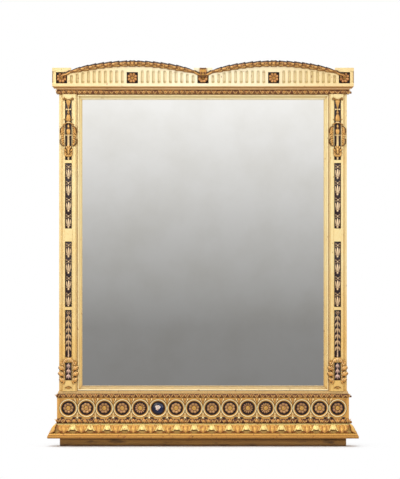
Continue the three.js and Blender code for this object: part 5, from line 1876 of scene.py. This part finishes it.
@dataclass
class Studio:
    """Camera at the photograph's view, plain floor, soft lamps and a pale surround.

    Scale is millimetres to a pixel, and the centre and the foot are the object's own in the photograph.
    Reflected is what glossy surfaces see: (height of the direction, brightness) points.
    """

    scale: float = 5.0
    photo: tuple[int, int] = (400, 479)
    centre_px: float = 203.0
    foot_px: float = 446.0
    distance: float = 14.0
    reference_out: float = 80.0
    sensor: float = 24.0
    aim: tuple[float, float, float] = (0.0, 0.0, 0.95)
    surround: float = 0.62
    reflected: tuple[tuple[float, float], ...] = (
        (-1.0, 0.55), (-0.4, 0.5), (-0.12, 0.28), (-0.052, 0.24), (-0.032, 0.273), (0.0037, 0.541),
        (0.0141, 0.648), (0.05, 0.99), (0.2, 1.0), (1.0, 1.0))

    def build(self) -> None:
        """Makes the camera, the floor, the lamps and the world."""
        scene = bpy.context.scene
        scene.view_settings.view_transform = "Standard"
        self._camera(scene)
        self._floor(scene)
        for name, where, size, power in (
                ("key", (-2.6, -4.2, 3.6), 3.0, 95), ("fill", (3.4, -4.6, 1.6), 3.0, 30),
                ("top", (0.0, -1.2, 4.4), 2.6, 42), ("rear", (-2.0, 4.0, 2.6), 3.0, 60)):
            self._lamp(scene, name, where, size, power)
        scene.world = self._world()

    def _camera(self, scene: bpy.types.Scene) -> None:
        """Adds the camera, square to the mirror and placed so that the view is the photograph's."""
        width, height = self.photo
        camera = bpy.data.cameras.new("camera")
        camera.sensor_fit = "VERTICAL"
        camera.sensor_height = self.sensor
        camera.lens = self.sensor * self.distance / (height * self.scale * MM)
        camera.clip_end = 100
        view = bpy.data.objects.new("camera", camera)
        view.location = ((width / 2 - self.centre_px) * self.scale * MM,
                         (WALL - self.reference_out) * MM - self.distance,
                         (self.foot_px - height / 2) * self.scale * MM)
        view.rotation_euler = (math.pi / 2, 0, 0)
        scene.collection.objects.link(view)
        scene.camera = view

    def _lamp(self, scene: bpy.types.Scene, name: str, where: Point, size: float, power: float) -> None:
        """Adds a soft square lamp that faces the mirror's middle."""
        lamp = bpy.data.lights.new(name, "AREA")
        lamp.size = size
        lamp.energy = power
        holder = bpy.data.objects.new(name, lamp)
        holder.location = where
        x, y, z = (to - start for to, start in zip(self.aim, where))
        tilt, turn = math.atan2(z, math.hypot(x, y)), math.atan2(y, x)
        holder.rotation_euler = (math.pi / 2 + tilt, 0, turn - math.pi / 2)
        scene.collection.objects.link(holder)

    def _floor(self, scene: bpy.types.Scene) -> None:
        """Adds the floor, white except where something stands close, and left out of reflections."""
        shader = Shader("floor")
        shader.set(Base_Color=(0.93, 0.93, 0.93, 1), Roughness=0.9)
        glow = shader.node("Emission", {"Color": (1, 1, 1, 1), "Strength": 1.0})
        shade = shader.fade(shader.hollows(0.25), 0.35, 0.97)
        blend = shader.node("MixShader", {0: shade, 1: shader.surface.outputs[0], 2: glow.outputs[0]})
        shader.feed(shader.tree.nodes["Material Output"].inputs["Surface"], blend.outputs[0])
        mesh = bpy.data.meshes.new("floor")
        mesh.from_pydata([(x, y, -0.001) for x, y in ((-20, -20), (20, -20), (20, 20), (-20, 20))], [],
                         [(0, 1, 2, 3)])
        mesh.materials.append(shader.material)
        floor = bpy.data.objects.new("floor", mesh)
        scene.collection.objects.link(floor)
        floor.visible_glossy = False
        floor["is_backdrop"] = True

    def _world(self) -> bpy.types.World:
        """Returns a white surround; in reflections it darkens from eye level down, as a room does."""
        world = bpy.data.worlds.new("surround")
        world.use_nodes = True
        world.node_tree.nodes.clear()
        build, white = Nodes(world.node_tree), (1, 1, 1, 1)
        way = build.node("TexCoord").outputs["Generated"]
        height = build.node("SeparateXYZ", {0: way}).outputs["Z"]
        share = build.node("MapRange", {"Value": height, "From Min": -1}).outputs["Result"]
        curve = build.node("FloatCurve", {"Value": share})
        line = curve.mapping.curves[0]
        for k, (z, value) in enumerate(self.reflected):
            point = line.points[k] if k < 2 else line.points.new(0, 0)
            point.location = ((z + 1) / 2, value)
            point.handle_type = "VECTOR"
        curve.mapping.update()
        plain = build.node("Background", {"Color": white, "Strength": self.surround}).outputs[0]
        room = build.node("Background", {"Color": curve.outputs["Value"]}).outputs[0]
        backdrop = build.node("Background", {"Color": white}).outputs[0]
        ray = build.node("LightPath").outputs
        lit = build.node("MixShader", {0: ray["Is Glossy Ray"], 1: plain, 2: room}).outputs[0]
        seen = build.node("MixShader", {0: ray["Is Camera Ray"], 1: lit, 2: backdrop}).outputs[0]
        build.node("OutputWorld", {"Surface": seen})
        return world


def main() -> None:
    """Builds the studio and every sub-assembly of the mirror."""
    logging.basicConfig(level=logging.INFO, format="%(name)s: %(message)s")
    Studio().build()
    palette = Palette()
    row, arc = Repeater(Layout.ROW), Repeater(Layout.ARC)
    Carcass().build(palette)
    SightMouldings().build(palette)
    LeafBase().build(palette, row)
    RopeMoulding("rope_lower", "twist_lower", web=-0.1, seed=1).build(palette, row)
    RopeMoulding("rope_upper", "twist_upper", sill=13.0, web=0.45, seed=2).build(palette, row)
    RopeMoulding("rope_crest", "twist_crest", seed=3).build(palette, row)
    RoundelFrieze().build(palette, row)
    for side in ("left", "right"):
        Pilaster(side).build(palette, row)
        Hanger(side).build(palette)
    Cornice().build(palette)
    Crest().build(palette, arc)


if __name__ == "__main__":
    main()
